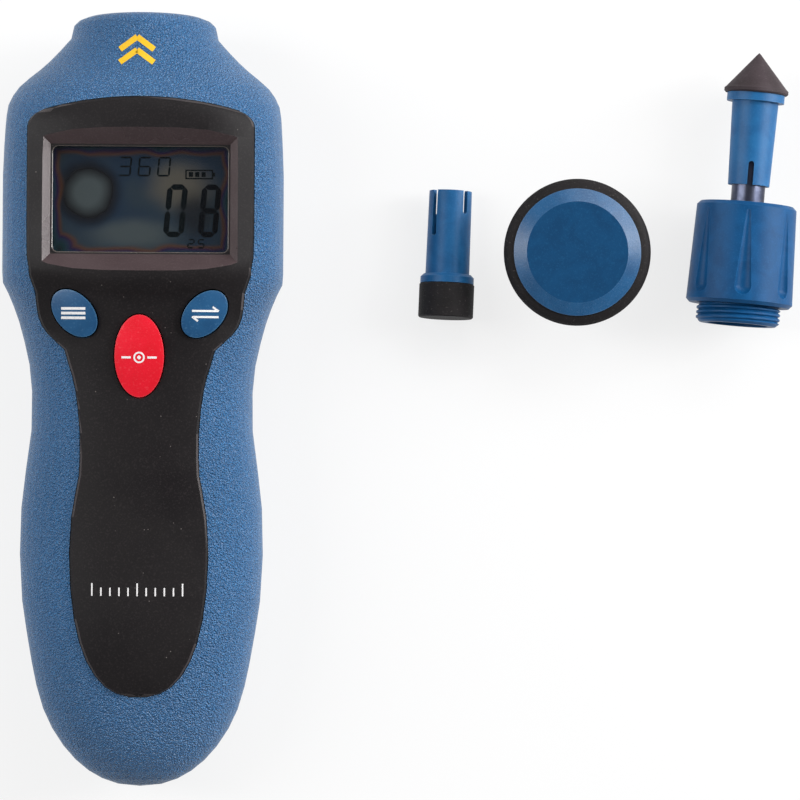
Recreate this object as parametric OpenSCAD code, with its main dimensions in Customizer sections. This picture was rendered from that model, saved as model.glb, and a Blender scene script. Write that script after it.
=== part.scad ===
// Hand-held laser tachometer with its contact adapter, cone tip, flat tip and speed wheel.
// The instrument lies on its back: +Y points out of the nose, +Z out of the display.
// The accessories lie beside it, as they are laid out for use. All lengths are in millimetres.

/* [Housing] */
// Length of the instrument from nose to tail
body_len = 160; // [152:1:168]
// Width across the display head
head_w = 58; // [57:0.5:62]
// Width at the waist below the keys
waist_w = 45.6; // [44.6:0.2:48]
// Width at the palm
palm_w = 50.4; // [48:0.2:54]
// Diameter of the round nose
nose_d = 30.6; // [30:0.2:32]
// Roll of the nose rim from the barrel to the front face
nose_round = 3; // [2.4:0.1:3.6]
// Angle by which the nose droops from the display plane, in degrees
nose_tilt = 5; // [3:0.5:7]
// Height of the parting line above the back
part_z = 19; // [18.6:0.1:19.6]
// Rise of the front shell above the parting line at the head
head_rise = 21.2; // [20.8:0.1:22]
// Rise of the front shell at the waist
waist_rise = 17.2; // [16.8:0.1:18]
// Rise of the front shell at the palm
palm_rise = 15.8; // [15:0.1:16.8]
// Wall of both shells
wall = 2.2; // [1.9:0.1:2.4]
// Floor of the rear shell where it is flat
floor_t = 3.4; // [3.2:0.1:3.8]

/* [Face panel] */
// Width of the black panel across the display
panel_head_w = 46.4; // [45.6:0.2:47.4]
// Width of the panel across the two small keys
panel_ear_w = 42.4; // [41.8:0.2:43.2]
// Width of the panel at the waist
panel_waist_w = 24.2; // [23.4:0.2:25.4]
// Width of the panel at the palm
panel_palm_w = 28.4; // [26:0.2:32]
// Height of the display deck above the blue shell
deck_proud = 1.4; // [1:0.1:1.6]
// Height of the lower panel above the blue shell
panel_proud = 0.5; // [0.3:0.1:0.8]
// Gap between the panel and the shell round it
panel_gap = 0.15; // [0.1:0.05:0.25]

/* [Display] */
// Width of the visible window
window_w = 36.8; // [36:0.2:37.6]
// Height of the visible window, as a share of the instrument's length
window_share = 0.140625; // [0.131:0.001:0.144]
// Thickness of the clear window pane
pane_t = 1.4; // [1:0.1:1.5]
// Thickness of the liquid crystal cell
cell_t = 2; // [1.6:0.1:2.2]

/* [Keys] */
// Long half axis of the two blue keys
small_key_long = 5.6; // [5.2:0.05:5.8]
// Short half axis of the two blue keys
small_key_short = 3.8; // [3.5:0.05:4]
// Half length of the red key
big_key_long = 8.45; // [8:0.05:8.7]
// Half width of the red key
big_key_short = 5.05; // [4.7:0.05:5.3]
// Gap between a key and the panel
key_gap = 0.3; // [0.25:0.05:0.35]
// Travel of the keys when pressed
key_travel = 0.6; // [0.4:0.05:0.7]

/* [Battery] */
// Width of the 9 V block battery
battery_w = 26.5; // [26:0.1:26.8]
// Length of its case without the terminals
battery_len = 46; // [45:0.1:46.6]
// Thickness of the battery
battery_t = 17.5; // [17:0.1:18]
// Thickness of the battery door
door_t = 2.6; // [2.5:0.1:2.7]

/* [Contact adapter] */
// Radius of the adapter body at its threaded end
adapter_r = 11.1; // [10.9:0.1:11.6]
// Radius of the adapter body at its shaft end
adapter_front_r = 10.4; // [10.1:0.1:10.7]
// Length of the adapter body without the thread
adapter_len = 21.2; // [20.6:0.1:23]
// Outer radius of the screw thread
thread_r = 8.75; // [8.5:0.05:8.9]
// Length of the screw thread
thread_len = 4; // [3.6:0.1:4.6]
// Radius of the steel shaft where the tips push on
shaft_r = 3.5; // [3.3:0.05:3.6]
// Number of grip flutes round the adapter
flutes = 7; // [5:1:9]

/* [Tips and wheel] */
// Length of the slotted sleeves that push on to the shaft
sleeve_len = 17.5; // [16.5:0.1:19]
// Outer radius of the sleeves
sleeve_r = 4.55; // [4.45:0.05:4.8]
// Radius of the rubber cone at its base
cone_r = 6.7; // [6.4:0.1:7.4]
// Height of the rubber cone
cone_h = 8.6; // [8:0.1:10]
// Radius of the flat rubber tip
flat_tip_r = 5.75; // [5.75:0.05:6.4]
// Length of the flat rubber tip
flat_tip_len = 7.2; // [6.6:0.1:8]
// Outer radius of the speed wheel's rubber tyre
wheel_r = 15.25; // [14.6:0.05:16.4]
// Width of the tyre
tyre_w = 4.8; // [4.4:0.1:5.4]

/* [Hidden] */

// Colours of the finished object
shell_blue = [0.24, 0.44, 0.62];
key_blue = [0.10, 0.32, 0.52];
tip_blue = [0.14, 0.42, 0.68];
panel_black = [0.15, 0.14, 0.15];
rubber_black = [0.12, 0.11, 0.11];
key_red = [0.88, 0.10, 0.18];
steel = [0.72, 0.72, 0.74];
board_green = [0.08, 0.36, 0.20];

// Shared small sizes
$fn = 48;
over = 1;             // overrun of cuts past a face
seat = 0.05;          // gap between pieces that lie against each other
fit_gap = 0.1;        // gap round a piece in its pocket
low_bulge = 0.8;      // what the rounded back would reach below its flat rest face
nose_r = nose_d / 2;
nose_y = body_len / 2;

// Curves through tables of [share of the body's length, value], smooth and without overshoot
function secant(t, i) = (t[i + 1][1] - t[i][1]) / (t[i + 1][0] - t[i][0]);
function tangent(t, i) =
    i == 0 ? secant(t, 0)
    : i == len(t) - 1 ? secant(t, i - 1)
    : let(a = secant(t, i - 1), b = secant(t, i)) a * b <= 0 ? 0 : 2 * a * b / (a + b);
function row_below(t, x, i = 0) = (i >= len(t) - 2 || x < t[i + 1][0]) ? i : row_below(t, x, i + 1);
function curve(t, x) =
    let(i = row_below(t, x), h = t[i + 1][0] - t[i][0],
        u = min(1, max(0, (x - t[i][0]) / h)), v = 1 - u)
    t[i][1] * (1 + 2 * u) * v * v + t[i + 1][1] * u * u * (3 - 2 * u)
        + h * (tangent(t, i) * u * v * v - tangent(t, i + 1) * u * u * v);
function mix(a, b, k) = a + (b - a) * k;

// Half width of the body in plan. Each row is [share of length, value]
nose_rim = [[0, nose_r - nose_round], [0.004, nose_r - nose_round * 0.5],
    [0.010, nose_r - nose_round * 0.2], [0.028, nose_r]];
neck_shares = [[0.034, 0.08], [0.042, 0.139], [0.0585, 0.307], [0.075, 0.504], [0.0838, 0.624],
    [0.0919, 0.73], [0.1006, 0.81], [0.1088, 0.869], [0.1244, 0.942], [0.1556, 0.971], [0.22, 1]];
brow_shares = [[0.346, 0], [0.3577, 0.129], [0.373, 0.313], [0.389, 0.452], [0.4045, 0.597],
    [0.42, 0.694], [0.4355, 0.8145], [0.451, 0.887], [0.4666, 0.952], [0.4977, 1]];
palm_shares = [[0.53, 0.02], [0.56, 0.17], [0.575, 0.33], [0.59, 0.5], [0.606, 0.64], [0.622, 0.8],
    [0.637, 0.88], [0.69, 1], [0.746, 0.9], [0.79, 0.7], [0.825, 0.64], [0.87, 0.78], [0.92, 1], [1, 1]];
plan = concat(nose_rim,
    [for (r = neck_shares) [r[0], mix(nose_r, head_w / 2, r[1])]],
    [for (r = brow_shares) [r[0], mix(head_w / 2, waist_w / 2, r[1])]],
    [for (r = palm_shares) [r[0], mix(waist_w / 2, palm_w / 2, r[1])]]);

// Height of the crown above the parting line, and depth of the back below it
crown_neck_shares = [[0.05, 0.05], [0.075, 0.3], [0.1, 0.7], [0.125, 0.93], [0.15, 1]];
crown_brow_shares = [[0.335, 0], [0.355, 0.12], [0.38, 0.4], [0.41, 0.65], [0.45, 0.85], [0.5, 1]];
crown_palm_shares = [[0.6, 0.6], [0.7, 1], [1, 1]];
back_neck_shares = [[0.06, 0.25], [0.09, 0.62], [0.12, 0.87], [0.15, 1], [1, 1]];
crown = concat(nose_rim,
    [for (r = crown_neck_shares) [r[0], mix(nose_r, head_rise, r[1])]],
    [for (r = crown_brow_shares) [r[0], mix(head_rise, waist_rise, r[1])]],
    [for (r = crown_palm_shares) [r[0], mix(waist_rise, palm_rise, r[1])]]);
back = concat(nose_rim,
    [for (r = back_neck_shares) [r[0], mix(nose_r, part_z + low_bulge, r[1])]]);

// Squareness of the cross-sections: 2 is an ellipse, more is boxier
top_square = [[0, 2], [0.05, 2.05], [0.1, 2.7], [0.15, 3.4], [0.2, 3.6], [0.34, 3.6], [0.4, 3.1],
    [0.5, 2.8], [0.7, 2.6], [1, 2.3]];
back_square = [[0, 2], [0.05, 2.05], [0.12, 3], [0.2, 3.4], [0.6, 3.4], [0.8, 3.8], [0.93, 3.6], [1, 2.6]];

// The tail closes as a superellipse, later on the back than in plan
tail_power = 2.2;
plan_tail_share = 0.72;
back_tail_share = 0.86;
function tail(s, from) =
    let(t = max(0, (s / body_len - from) / (1 - from)))
    pow(max(0, 1 - pow(t, tail_power)), 1 / tail_power);
function half_w(s, d = 0) = max(0, curve(plan, s / body_len) * tail(s, plan_tail_share) - d);
function rise(s, d = 0) = max(0, curve(crown, s / body_len) * tail(s, plan_tail_share) - d);
function drop(s, d = 0) = max(0, curve(back, s / body_len) * tail(s, back_tail_share) - d);

// Height of the outer surface at station s, a distance from the nose, and offset x
function front_z(s, x, d = 0) =
    let(n = curve(top_square, s / body_len), u = min(1, abs(x) / max(over / 100, half_w(s, d))))
    part_z + rise(s, d) * pow(1 - pow(u, n), 1 / n);
function back_z(s, x) =
    let(n = curve(back_square, s / body_len), u = min(1, abs(x) / half_w(s)))
    part_z - drop(s) * pow(1 - pow(u, n), 1 / n);

// The nose leans forward at the top; the lean fades out where the panel starts
lean_share = 0.105;
function lean(s, z) =
    (part_z + nose_r - z) * tan(nose_tilt) * max(0, 1 - s / (body_len * lean_share));
function section_point(s, a, top, side_d, deep_d) =
    let(n = curve(top ? top_square : back_square, s / body_len), c = cos(a),
        x = half_w(s, side_d) * sign(c) * pow(abs(c), 2 / n),
        h = top ? rise(s, deep_d) : drop(s, deep_d),
        z = part_z + (top ? 1 : -1) * h * pow(sin(a), 2 / n))
    [x, nose_y - s - lean(s, z), z];

// Stations of the shells, close together where the form turns fast
station_shares = [0, 0.004, 0.010, 0.018, 0.028, 0.045, 0.060, 0.072, 0.084, 0.096, 0.108, 0.120,
    0.134, 0.150, 0.175, 0.21, 0.26, 0.31, 0.336, 0.350, 0.364, 0.380, 0.400, 0.425, 0.455, 0.49,
    0.54, 0.59, 0.64, 0.70, 0.76, 0.80, 0.84, 0.87, 0.90, 0.925, 0.948, 0.966, 0.980, 0.990, 0.997];
around = 22;          // facets round each half section

// Faces of a grid of rows by columns, and of a closed skin between two grids that share a tip each
function grid_faces(rows, cols, o) =
    [for (i = [0:rows - 2]) for (j = [0:cols - 2])
        let(a = o + i * cols + j) each [[a, a + 1, a + cols + 1], [a, a + cols + 1, a + cols]]];
function flip(faces) = [for (f = faces) [f[0], f[2], f[1]]];
function edge_faces(a, b, n, step) =
    [for (i = [0:n - 2]) each [[a + i * step, a + (i + 1) * step, b + (i + 1) * step],
        [a + i * step, b + (i + 1) * step, b + i * step]]];

// The floor is as thin as the walls at the nose and thickens behind it
function floor_depth(s) = mix(wall, floor_t + low_bulge, min(1, max(0, s / body_len * 20 - 1)));

// One half of the housing as an open tray: outer skin, inner skin and the rims between them
module tray(top) {
    cols = around + 1;
    rows = len(station_shares);
    inner_len = body_len - 2 * wall;
    outer = [for (k = station_shares) for (j = [0:around])
        section_point(k * body_len, 180 * j / around, top, 0, 0)];
    inner = [for (k = station_shares) let(s = wall + k * inner_len) for (j = [0:around])
        section_point(s, 180 * j / around, top, wall, top ? wall : floor_depth(s))];
    tips = [[0, -body_len / 2, part_z], [0, wall - body_len / 2, part_z]];
    n = rows * cols;
    last = n - cols;
    faces = concat(grid_faces(rows, cols, 0), flip(grid_faces(rows, cols, n)),
        [for (j = [0:around - 1]) [last + j, last + j + 1, 2 * n]],
        [for (j = [0:around - 1]) [n + last + j + 1, n + last + j, 2 * n + 1]],
        flip(edge_faces(0, n, cols, 1)),
        edge_faces(0, n, rows, cols),
        flip(edge_faces(around, n + around, rows, cols)),
        [[last, 2 * n, 2 * n + 1], [last, 2 * n + 1, n + last],
         [last + around, n + last + around, 2 * n + 1], [last + around, 2 * n + 1, 2 * n]]);
    polyhedron(concat(outer, inner, tips), top ? flip(faces) : faces);
}

// A closed slab between an upper and a lower grid of points
module slab(upper, lower, rows, cols) {
    n = rows * cols;
    faces = concat(grid_faces(rows, cols, 0), flip(grid_faces(rows, cols, n)),
        flip(edge_faces(0, n, cols, 1)), edge_faces(n - cols, 2 * n - cols, cols, 1),
        edge_faces(0, n, rows, cols), flip(edge_faces(cols - 1, n + cols - 1, rows, cols)));
    polyhedron(concat(upper, lower), faces);
}

// Half width of the face panel: a table down its sides, rounded corners above, a round lower end
panel_top = body_len * 0.1124;
panel_end = body_len * 0.8815;
panel_arc_r = panel_head_w * 1.6;
panel_corner = 3.2;
sag_fade = 25;
panel_sides = [[0.1, panel_head_w / 2], [0.31, panel_head_w / 2], [0.329, panel_head_w * 0.49],
    [0.3444, panel_head_w * 0.485], [0.3597, panel_ear_w * 0.505], [0.375, panel_ear_w / 2],
    [0.390, panel_ear_w * 0.493], [0.4056, panel_ear_w * 0.473], [0.421, panel_ear_w * 0.427],
    [0.4363, panel_waist_w * 0.634], [0.4517, panel_waist_w * 0.605], [0.467, panel_waist_w * 0.572],
    [0.4824, panel_waist_w * 0.545], [0.4977, panel_waist_w * 0.529], [0.52, panel_waist_w * 0.512],
    [0.5437, panel_waist_w / 2], [0.59, panel_waist_w / 2],
    [0.605, mix(panel_waist_w, panel_palm_w, 0.22) / 2],
    [0.636, mix(panel_waist_w, panel_palm_w, 0.6) / 2],
    [0.651, mix(panel_waist_w, panel_palm_w, 0.8) / 2], [0.682, panel_palm_w / 2],
    [1, panel_palm_w / 2]];
end_power = 2.5;
end_from = body_len * 0.68;
function panel_half(s) =
    let(c = panel_corner, t = min(c, s - panel_top), cut = c - sqrt(c * c - (c - t) * (c - t)),
        e = min(1, max(0, (s - end_from) / (panel_end - end_from))))
    (curve(panel_sides, s / body_len) - cut) * pow(1 - pow(e, end_power), 1 / end_power);

// The top edge is an arc, whose sag fades out down the panel
function sag(s, x) = (panel_arc_r - sqrt(panel_arc_r ^ 2 - x * x))
    * max(0, 1 - (s - panel_top) / sag_fade) ^ 2;

// The deck round the display stands higher and falls off softly below the window
deck_end = body_len * 0.351;
deck_fall = 2.6;
deck_bow = 3.2;
function deck_lift(s, x) =
    let(u = min(1, max(0, (s - deck_end + deck_bow * (x / panel_head_w * 2) ^ 2) / deck_fall)))
    mix(deck_proud, panel_proud, u * u * (3 - 2 * u));
panel_t = 1.6;        // thickness of the panel below the shell's surface
panel_seat_depth = 5;  // seat for the display holder, below the shell's crown
panel_seat_z = part_z + head_rise - panel_seat_depth;
edge_drop = 0.4;      // chamfer round the panel's edge
under_from = body_len * 0.342;
under_rise = 3.5;
function panel_z(s, x) = front_z(s, x) + deck_lift(s, x);
function panel_under(s, x) =
    let(z = front_z(s, x) - panel_t, u = min(1, max(0, (s - under_from) / under_rise)))
    min(z, mix(panel_seat_z, z, u));

panel_row_shares = [0, 0.0035, 0.009, 0.016, 0.026, 0.05, 0.09, 0.15, 0.22, 0.265, 0.283, 0.297,
    0.311, 0.325, 0.339, 0.353, 0.367, 0.381, 0.395, 0.408, 0.421, 0.433, 0.445, 0.465, 0.49, 0.52,
    0.56, 0.60, 0.63, 0.66, 0.70, 0.76, 0.82, 0.87, 0.91, 0.94, 0.965, 0.983, 0.994, 0.9993];
panel_col_shares = [0, 0.3, 0.55, 0.75, 0.9];
function panel_station(k) = panel_top + (panel_end - panel_top) * k;
function panel_outline(d) =
    let(rows = [for (k = panel_row_shares) panel_station(k)],
        right = [for (s = rows) let(p = panel_half(s)) [p + d, nose_y - s - sag(s, p)]],
        n = len(right), top_half = panel_half(rows[0]))
    concat([for (c = [-1:0.1:1.01]) [c * top_half, nose_y - rows[0] - sag(rows[0], c * top_half) + d]],
        right,
        [[right[n - 1][0] - d, right[n - 1][1] - d], [d - right[n - 1][0], right[n - 1][1] - d]],
        [for (i = [n - 1:-1:0]) [-right[i][0], right[i][1]]]);

// Display stack, from the window down to the board
window_y = nose_y - body_len * 0.2433;
window_h = body_len * window_share;
window_depth = 3.4;   // floor of the window well, below the deck's crown
window_z = part_z + head_rise + deck_proud - window_depth;
window_step = 0.6;    // upright wall between the bevel and the pane
pane_top = window_z - window_step;
pane_rim = 1.4;       // what the pane reaches past the window on each side
cell_side = 1.9;      // what the cell reaches past the window at each side
cell_end = 2.3;       // and above and below it
cell_w = window_w + 2 * cell_side;
cell_h = window_h + 2 * cell_end;
cell_sink = 0.9;
cell_top = panel_seat_z - cell_sink;
cell_ledge = 1.9;
holder_wall = 1.3;
holder_lip = 0.35;
holder_drop = 0.15;   // gap under the panel's seat, which the crown takes up at the corners
holder_w = cell_w + 2 * (fit_gap + holder_wall);
holder_h = cell_h + 2 * (fit_gap + holder_wall);
board_t = 1.6;
board_rise = 9.6;
board_top = part_z + board_rise;
board_z = board_top - board_t;
strip_w = 1.8;

// Keys: place, turn and half axes
small_key_x = panel_ear_w * 0.3137;
small_key_y = nose_y - body_len * 0.3896;
big_key_y = nose_y - body_len * 0.4437;
small_key_turn = 43;
key_rim = 1.1;        // what a key's flange reaches past the key
key_flange_t = 1;
small_flange_rise = 5.9;
big_flange_rise = 5.8;
key_flange_top = board_top + small_flange_rise;
big_flange_top = board_top + big_flange_rise;
flange_gap = 0.3;
key_proud = 1.1;
big_key_extra = 0.2;
small_crown_x = -8.6; // where the crown of a small cap lies, from the key's centre
small_crown_y = 0.8;
big_crown_y = 6.8;
switch_size = 6;
switch_h = 3.5;
plunger_r = 1.7;
plunger_sink = 1.2;
function oval(long, short, n = 48) =
    [for (i = [0:n - 1]) [short * cos(360 * i / n), long * sin(360 * i / n)]];

// Nose assembly, measured along the tilted axis outwards from the nose face
thread_gap = 0.1;
socket_r = thread_r + thread_gap;
socket_spare = 2.3;
socket_deep = thread_len + socket_spare;
ring_wall = 1.8;
ring_r = socket_r + ring_wall;
ring_tail = 4;
ring_len = socket_deep + ring_tail;
ring_face_gap = 0.15;
ring_face_r = nose_r - nose_round - ring_face_gap;
ring_step = 0.5;
ring_flange_r = ring_face_r + ring_step;
ring_flange_sink = 1.4;
ring_flange_z = -wall - ring_flange_sink;
ring_flange_t = 1.8;
ring_set_in = 0.3;
ring_chamfer_r = 0.8;
ring_chamfer_h = 0.6;
lens_window_t = 1.5;
filter_step = 0.6;    // ledge between the socket's wall and the filter's pocket
filter_r = socket_r - filter_step;
optic_r = 9;
optic_len = body_len * 0.06;
optic_neck_step = 1.3;
optic_neck_r = socket_r - optic_neck_step;
optic_recess = 2;
optic_split = 3.9;    // offset of the laser and of the receiver from the axis
laser_r = 3;
laser_len = 10.6;
receiver_r = 3.3;
sensor_board_t = 1.2;
nose_centre_y = nose_y - nose_r * tan(nose_tilt);
optic_back = ring_len + optic_len - optic_recess;
module nose_frame() {
    translate([0, nose_centre_y, part_z]) rotate([-90 - nose_tilt, 0, 0]) children();
}

// Battery bay and door
battery_gap = 0.45;
door_clear = 0.5;
battery_z = door_t + door_clear;
battery_y = nose_y - body_len * 0.584;          // terminal end of the battery's case
terminal_h = 2.5;
terminal_x = 6.35;
small_terminal_r = 2.9;
big_terminal_r = 3.9;
snap_t = 4.2;
bay_wall = 1.2;
bay_lid_gap = 3;
bay_top = part_z - bay_lid_gap;
door_front_y = battery_y + terminal_h + snap_t + 2 * bay_wall;
door_round_y = nose_y - body_len * 0.8125;
door_end_y = nose_y - body_len * 0.928;
door_side = 0.7;
door_half = battery_w / 2 + door_side;
tongue = 1.2;
tongue_t = 1;
tongue_len = 42;
door_gap = 0.1;
lead_notch = 1.2;     // room round the leads in the bay's front wall

// Screws and bosses
screw_r = 1.3;
screw_head_r = 2.6;
screw_head_h = 1.8;
screw_sink = 6.5;
screw_seat_z = part_z - screw_sink;
screw_clear = 0.2;
screw_bite = 7;
boss_r = 3.3;
well_wall = 1.5;
well_gap = 0.4;
pilot_len = 9;
screw_places = [[head_w * 0.293, nose_y - body_len * 0.105],
    [waist_w * 0.373, nose_y - body_len * 0.4875]];

module mirrored() {
    children();
    mirror([1, 0, 0]) children();
}

module at_screws() {
    for (p = screw_places) mirrored() translate([p[0], p[1], 0]) children();
}

// Solid form a little inside the housing's surface, which trims bosses and ribs
core_shares = [0.03, 0.06, 0.084, 0.108, 0.134, 0.175, 0.26, 0.336, 0.364, 0.40, 0.455, 0.54, 0.64,
    0.76, 0.84, 0.90, 0.948, 0.98];
core_around = 12;
core_inset = 0.7;
module core(top) {
    cols = core_around + 1;
    rows = len(core_shares);
    last = (rows - 1) * cols;
    tip = rows * cols;
    points = concat([for (k = core_shares) for (j = [0:core_around])
        section_point(k * body_len, 180 * j / core_around, top, core_inset, core_inset)],
        [[0, core_inset - body_len / 2, part_z]]);
    faces = concat(grid_faces(rows, cols, 0),
        [for (i = [0:rows - 2]) let(a = i * cols, b = a + cols)
            each [[a, b, b + cols - 1], [a, b + cols - 1, b - 1]]],
        [for (j = [1:cols - 2]) [0, j + 1, j]],
        [for (j = [0:cols - 2]) [last + j, last + j + 1, tip]],
        [[last + cols - 1, last, tip]]);
    polyhedron(points, top ? flip(faces) : faces);
}

// Front half of the blue housing, with the cut-out for the panel and the screw bosses
module front_shell() {
    color(shell_blue) {
        difference() {
            union() {
                tray(true);
                intersection() {
                    core(true);
                    at_screws() translate([0, 0, part_z - over]) cylinder(r = boss_r, h = head_rise);
                }
            }
            translate([0, 0, part_z + over]) linear_extrude(head_rise + over * 3)
                polygon(panel_outline(panel_gap));
            at_screws() translate([0, 0, part_z - over])
                cylinder(r = screw_r - screw_clear + seat, h = pilot_len + over);
        }
        panel_lugs();
    }
}

// Lugs inside the shell that the panel's edge rests on
lug_len = 8;
lug_t = 1.4;
lug_reach = 1.3;
lug_root = 1.6;
lug_shares = [0.2, 0.26, 0.55, 0.72];
module panel_lugs() {
    for (k = lug_shares) let(s = body_len * k, e = s + lug_len, p = min(panel_half(s), panel_half(e)))
        mirrored() translate([p - lug_reach, nose_y - e,
            min(panel_under(s, p), panel_under(e, p)) - seat - lug_t])
            cube([lug_reach + lug_root, lug_len, lug_t]);
}

// Rear half of the blue housing: flat rest face, screw wells, battery bay and door channel
module rear_shell() {
    bay_x = battery_w / 2 + battery_gap;
    bay_end = battery_y - battery_len - battery_gap;
    channel = body_len + door_front_y + door_gap;
    color(shell_blue) difference() {
        union() {
            tray(false);
            intersection() {
                core(false);
                union() {
                    at_screws() cylinder(r = screw_head_r + well_gap + well_wall, h = part_z + over);
                    translate([-bay_x - bay_wall, bay_end - bay_wall, 0])
                        cube([2 * (bay_x + bay_wall), door_front_y - bay_end, bay_top]);
                }
            }
        }
        translate([-head_w, -body_len, -part_z]) cube([2 * head_w, 2 * body_len, part_z]);
        translate([-bay_x, bay_end, -over])
            cube([2 * bay_x, door_front_y - bay_end - 2 * bay_wall, part_z + over]);
        translate([-door_half - door_gap, -body_len, -over])
            cube([2 * (door_half + door_gap), channel, door_t + door_gap + over]);
        translate([-door_half - tongue - door_gap, -body_len, door_t - tongue_t - door_gap])
            cube([2 * (door_half + tongue + door_gap), channel, tongue_t + 2 * door_gap]);
        translate([-lead_x - lead_notch, door_front_y - 2 * bay_wall - seat,
            battery_z + battery_t / 2 - lead_notch])
            cube([2 * (lead_x + lead_notch), bay_wall + 2 * seat, bay_top]);
        at_screws() {
            translate([0, 0, -over]) cylinder(r = screw_head_r + well_gap, h = screw_seat_z + over);
            translate([0, 0, -over]) cylinder(r = screw_r + screw_clear, h = part_z + 2 * over);
        }
    }
}

// Black face panel with the display deck, the bevelled window well and the key holes
module panel_skin() {
    side = panel_col_shares;
    shares = concat([-1], [for (i = [len(side) - 1:-1:0]) -side[i]],
        [for (i = [1:len(side) - 1]) side[i]], [1]);
    rows = len(panel_row_shares);
    cols = len(shares);
    function across(p, c) =
        abs(c) == 1 ? c * p : c / side[len(side) - 1] * max(p / 2, p - edge_drop);
    function skin_point(i, c, under) =
        let(b = panel_station(panel_row_shares[i]), x = across(panel_half(b), c), s = b + sag(b, x),
            edge = i == 0 || i == rows - 1 || abs(c) == 1)
        [x, nose_y - s, under ? panel_under(s, x) : panel_z(s, x) - (edge ? edge_drop : 0)];
    slab([for (i = [0:rows - 1]) for (c = shares) skin_point(i, c, false)],
        [for (i = [0:rows - 1]) for (c = shares) skin_point(i, c, true)], rows, cols);
}

// Sloping walls of the window well, drawn past the crowned surface so that the surface trims them
well_reach = 5;
module window_well() {
    w0 = window_w / 2;
    h0 = window_h / 2;
    polyhedron([for (k = [0, 1]) for (c = [[-1, -1], [1, -1], [1, 1], [-1, 1]])
            [c[0] * (w0 + k * well_reach), c[1] * (h0 + k * well_reach), k * well_reach]],
        [[0, 1, 2], [0, 2, 3], [4, 6, 5], [4, 7, 6], [0, 5, 1], [0, 4, 5], [1, 6, 2], [1, 5, 6],
         [2, 7, 3], [2, 6, 7], [3, 4, 0], [3, 7, 4]]);
}

board_post_r = 2.2;
post_hole_r = 0.85;
post_hole_len = 4;
post_screw_r = 0.8;
post_screw_head_r = 1.8;
post_screw_head_h = 1.2;
post_screw_bite = 3.6;
post_places = [[small_key_x * 0.6, nose_y - body_len * 0.3545], [0, nose_y - body_len * 0.555]];
module at_posts() {
    mirrored() translate([post_places[0][0], post_places[0][1], 0]) children();
    translate([post_places[1][0], post_places[1][1], 0]) children();
}

module face_panel() {
    color(panel_black) difference() {
        union() {
            panel_skin();
            for (i = [0, 1]) let(p = post_places[i], z = panel_under(nose_y - p[1], p[0] + board_post_r))
                for (k = i == 0 ? [-1, 1] : [1]) translate([k * p[0], p[1], board_top + seat])
                    cylinder(r = board_post_r, h = z + panel_t - board_top);
        }
        translate([0, window_y, window_z]) window_well();
        translate([-window_w / 2, window_y - window_h / 2, board_top])
            cube([window_w, window_h, window_z - board_top + over / 10]);
        translate([-window_w / 2 - pane_rim - fit_gap, window_y - window_h / 2 - pane_rim - fit_gap,
            board_top])
            cube([window_w + 2 * (pane_rim + fit_gap), window_h + 2 * (pane_rim + fit_gap),
                pane_top - board_top]);
        mirrored() small_key_place() {
            key_prism(small_key_long + key_gap, small_key_short + key_gap, board_top, head_rise);
            key_prism(small_key_long + key_rim + flange_gap, small_key_short + key_rim + flange_gap,
                board_top,
                key_flange_top + seat - board_top);
        }
        translate([0, big_key_y, 0])
            key_prism(big_key_long + key_gap, big_key_short + key_gap, board_top, head_rise);
        at_posts() translate([0, 0, board_top - over]) cylinder(r = post_hole_r, h = post_hole_len + over);
    }
}

module small_key_place() {
    translate([small_key_x, small_key_y, 0]) rotate([0, 0, -small_key_turn]) children();
}

module key_prism(long, short, z, h) {
    translate([0, 0, z]) linear_extrude(h) polygon(oval(long, short));
}

// A key: domed cap whose crown leans with the panel, and the flange that stops it from below
module key(long, short, top, flange_top, dome_r, crown_x, crown_y) {
    intersection() {
        key_prism(long, short, flange_top - key_flange_t / 2, top - flange_top + 3 * key_flange_t);
        translate([crown_x, crown_y, top - sqrt(dome_r ^ 2 - crown_x ^ 2 - crown_y ^ 2)])
            sphere(r = dome_r, $fn = 96);
    }
    key_prism(long + key_rim, short + key_rim, flange_top - key_flange_t, key_flange_t);
}

small_key_top = panel_z(nose_y - small_key_y, small_key_x) + key_proud;
big_key_top = panel_z(nose_y - big_key_y, 0) + key_proud + big_key_extra;
key_dome_r = 34;
module memory_key() {
    color(key_blue) mirror([1, 0, 0]) small_key_place()
        key(small_key_long, small_key_short, small_key_top, key_flange_top, key_dome_r, small_crown_x,
            small_crown_y);
}

module mode_key() {
    color(key_blue) small_key_place()
        key(small_key_long, small_key_short, small_key_top, key_flange_top, key_dome_r, small_crown_x,
            small_crown_y);
}

module measure_key() {
    color(key_red) translate([0, big_key_y, 0])
        key(big_key_long, big_key_short, big_key_top, big_flange_top, key_dome_r * 1.6, 0, big_crown_y);
}

// Plungers of the push switches, which travel with the keys
module plunger(flange_top) {
    bottom = board_top + switch_h - plunger_sink + key_travel + fit_gap;
    color(panel_black) translate([0, 0, bottom])
        cylinder(r = plunger_r, h = flange_top - key_flange_t - bottom);
}

module memory_plunger() {
    translate([-small_key_x, small_key_y, 0]) plunger(key_flange_top);
}

module mode_plunger() {
    translate([small_key_x, small_key_y, 0]) plunger(key_flange_top);
}

module measure_plunger() {
    translate([0, big_key_y, 0]) plunger(big_flange_top);
}

module key_switches() {
    color(steel) for (p = [[-small_key_x, small_key_y], [small_key_x, small_key_y], [0, big_key_y]])
        translate([p[0], p[1], board_top]) difference() {
            translate([-switch_size / 2, -switch_size / 2, 0]) cube([switch_size, switch_size, switch_h]);
            translate([0, 0, switch_h - plunger_sink])
                cylinder(r = plunger_r + fit_gap / 2, h = plunger_sink + over);
        }
}

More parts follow.
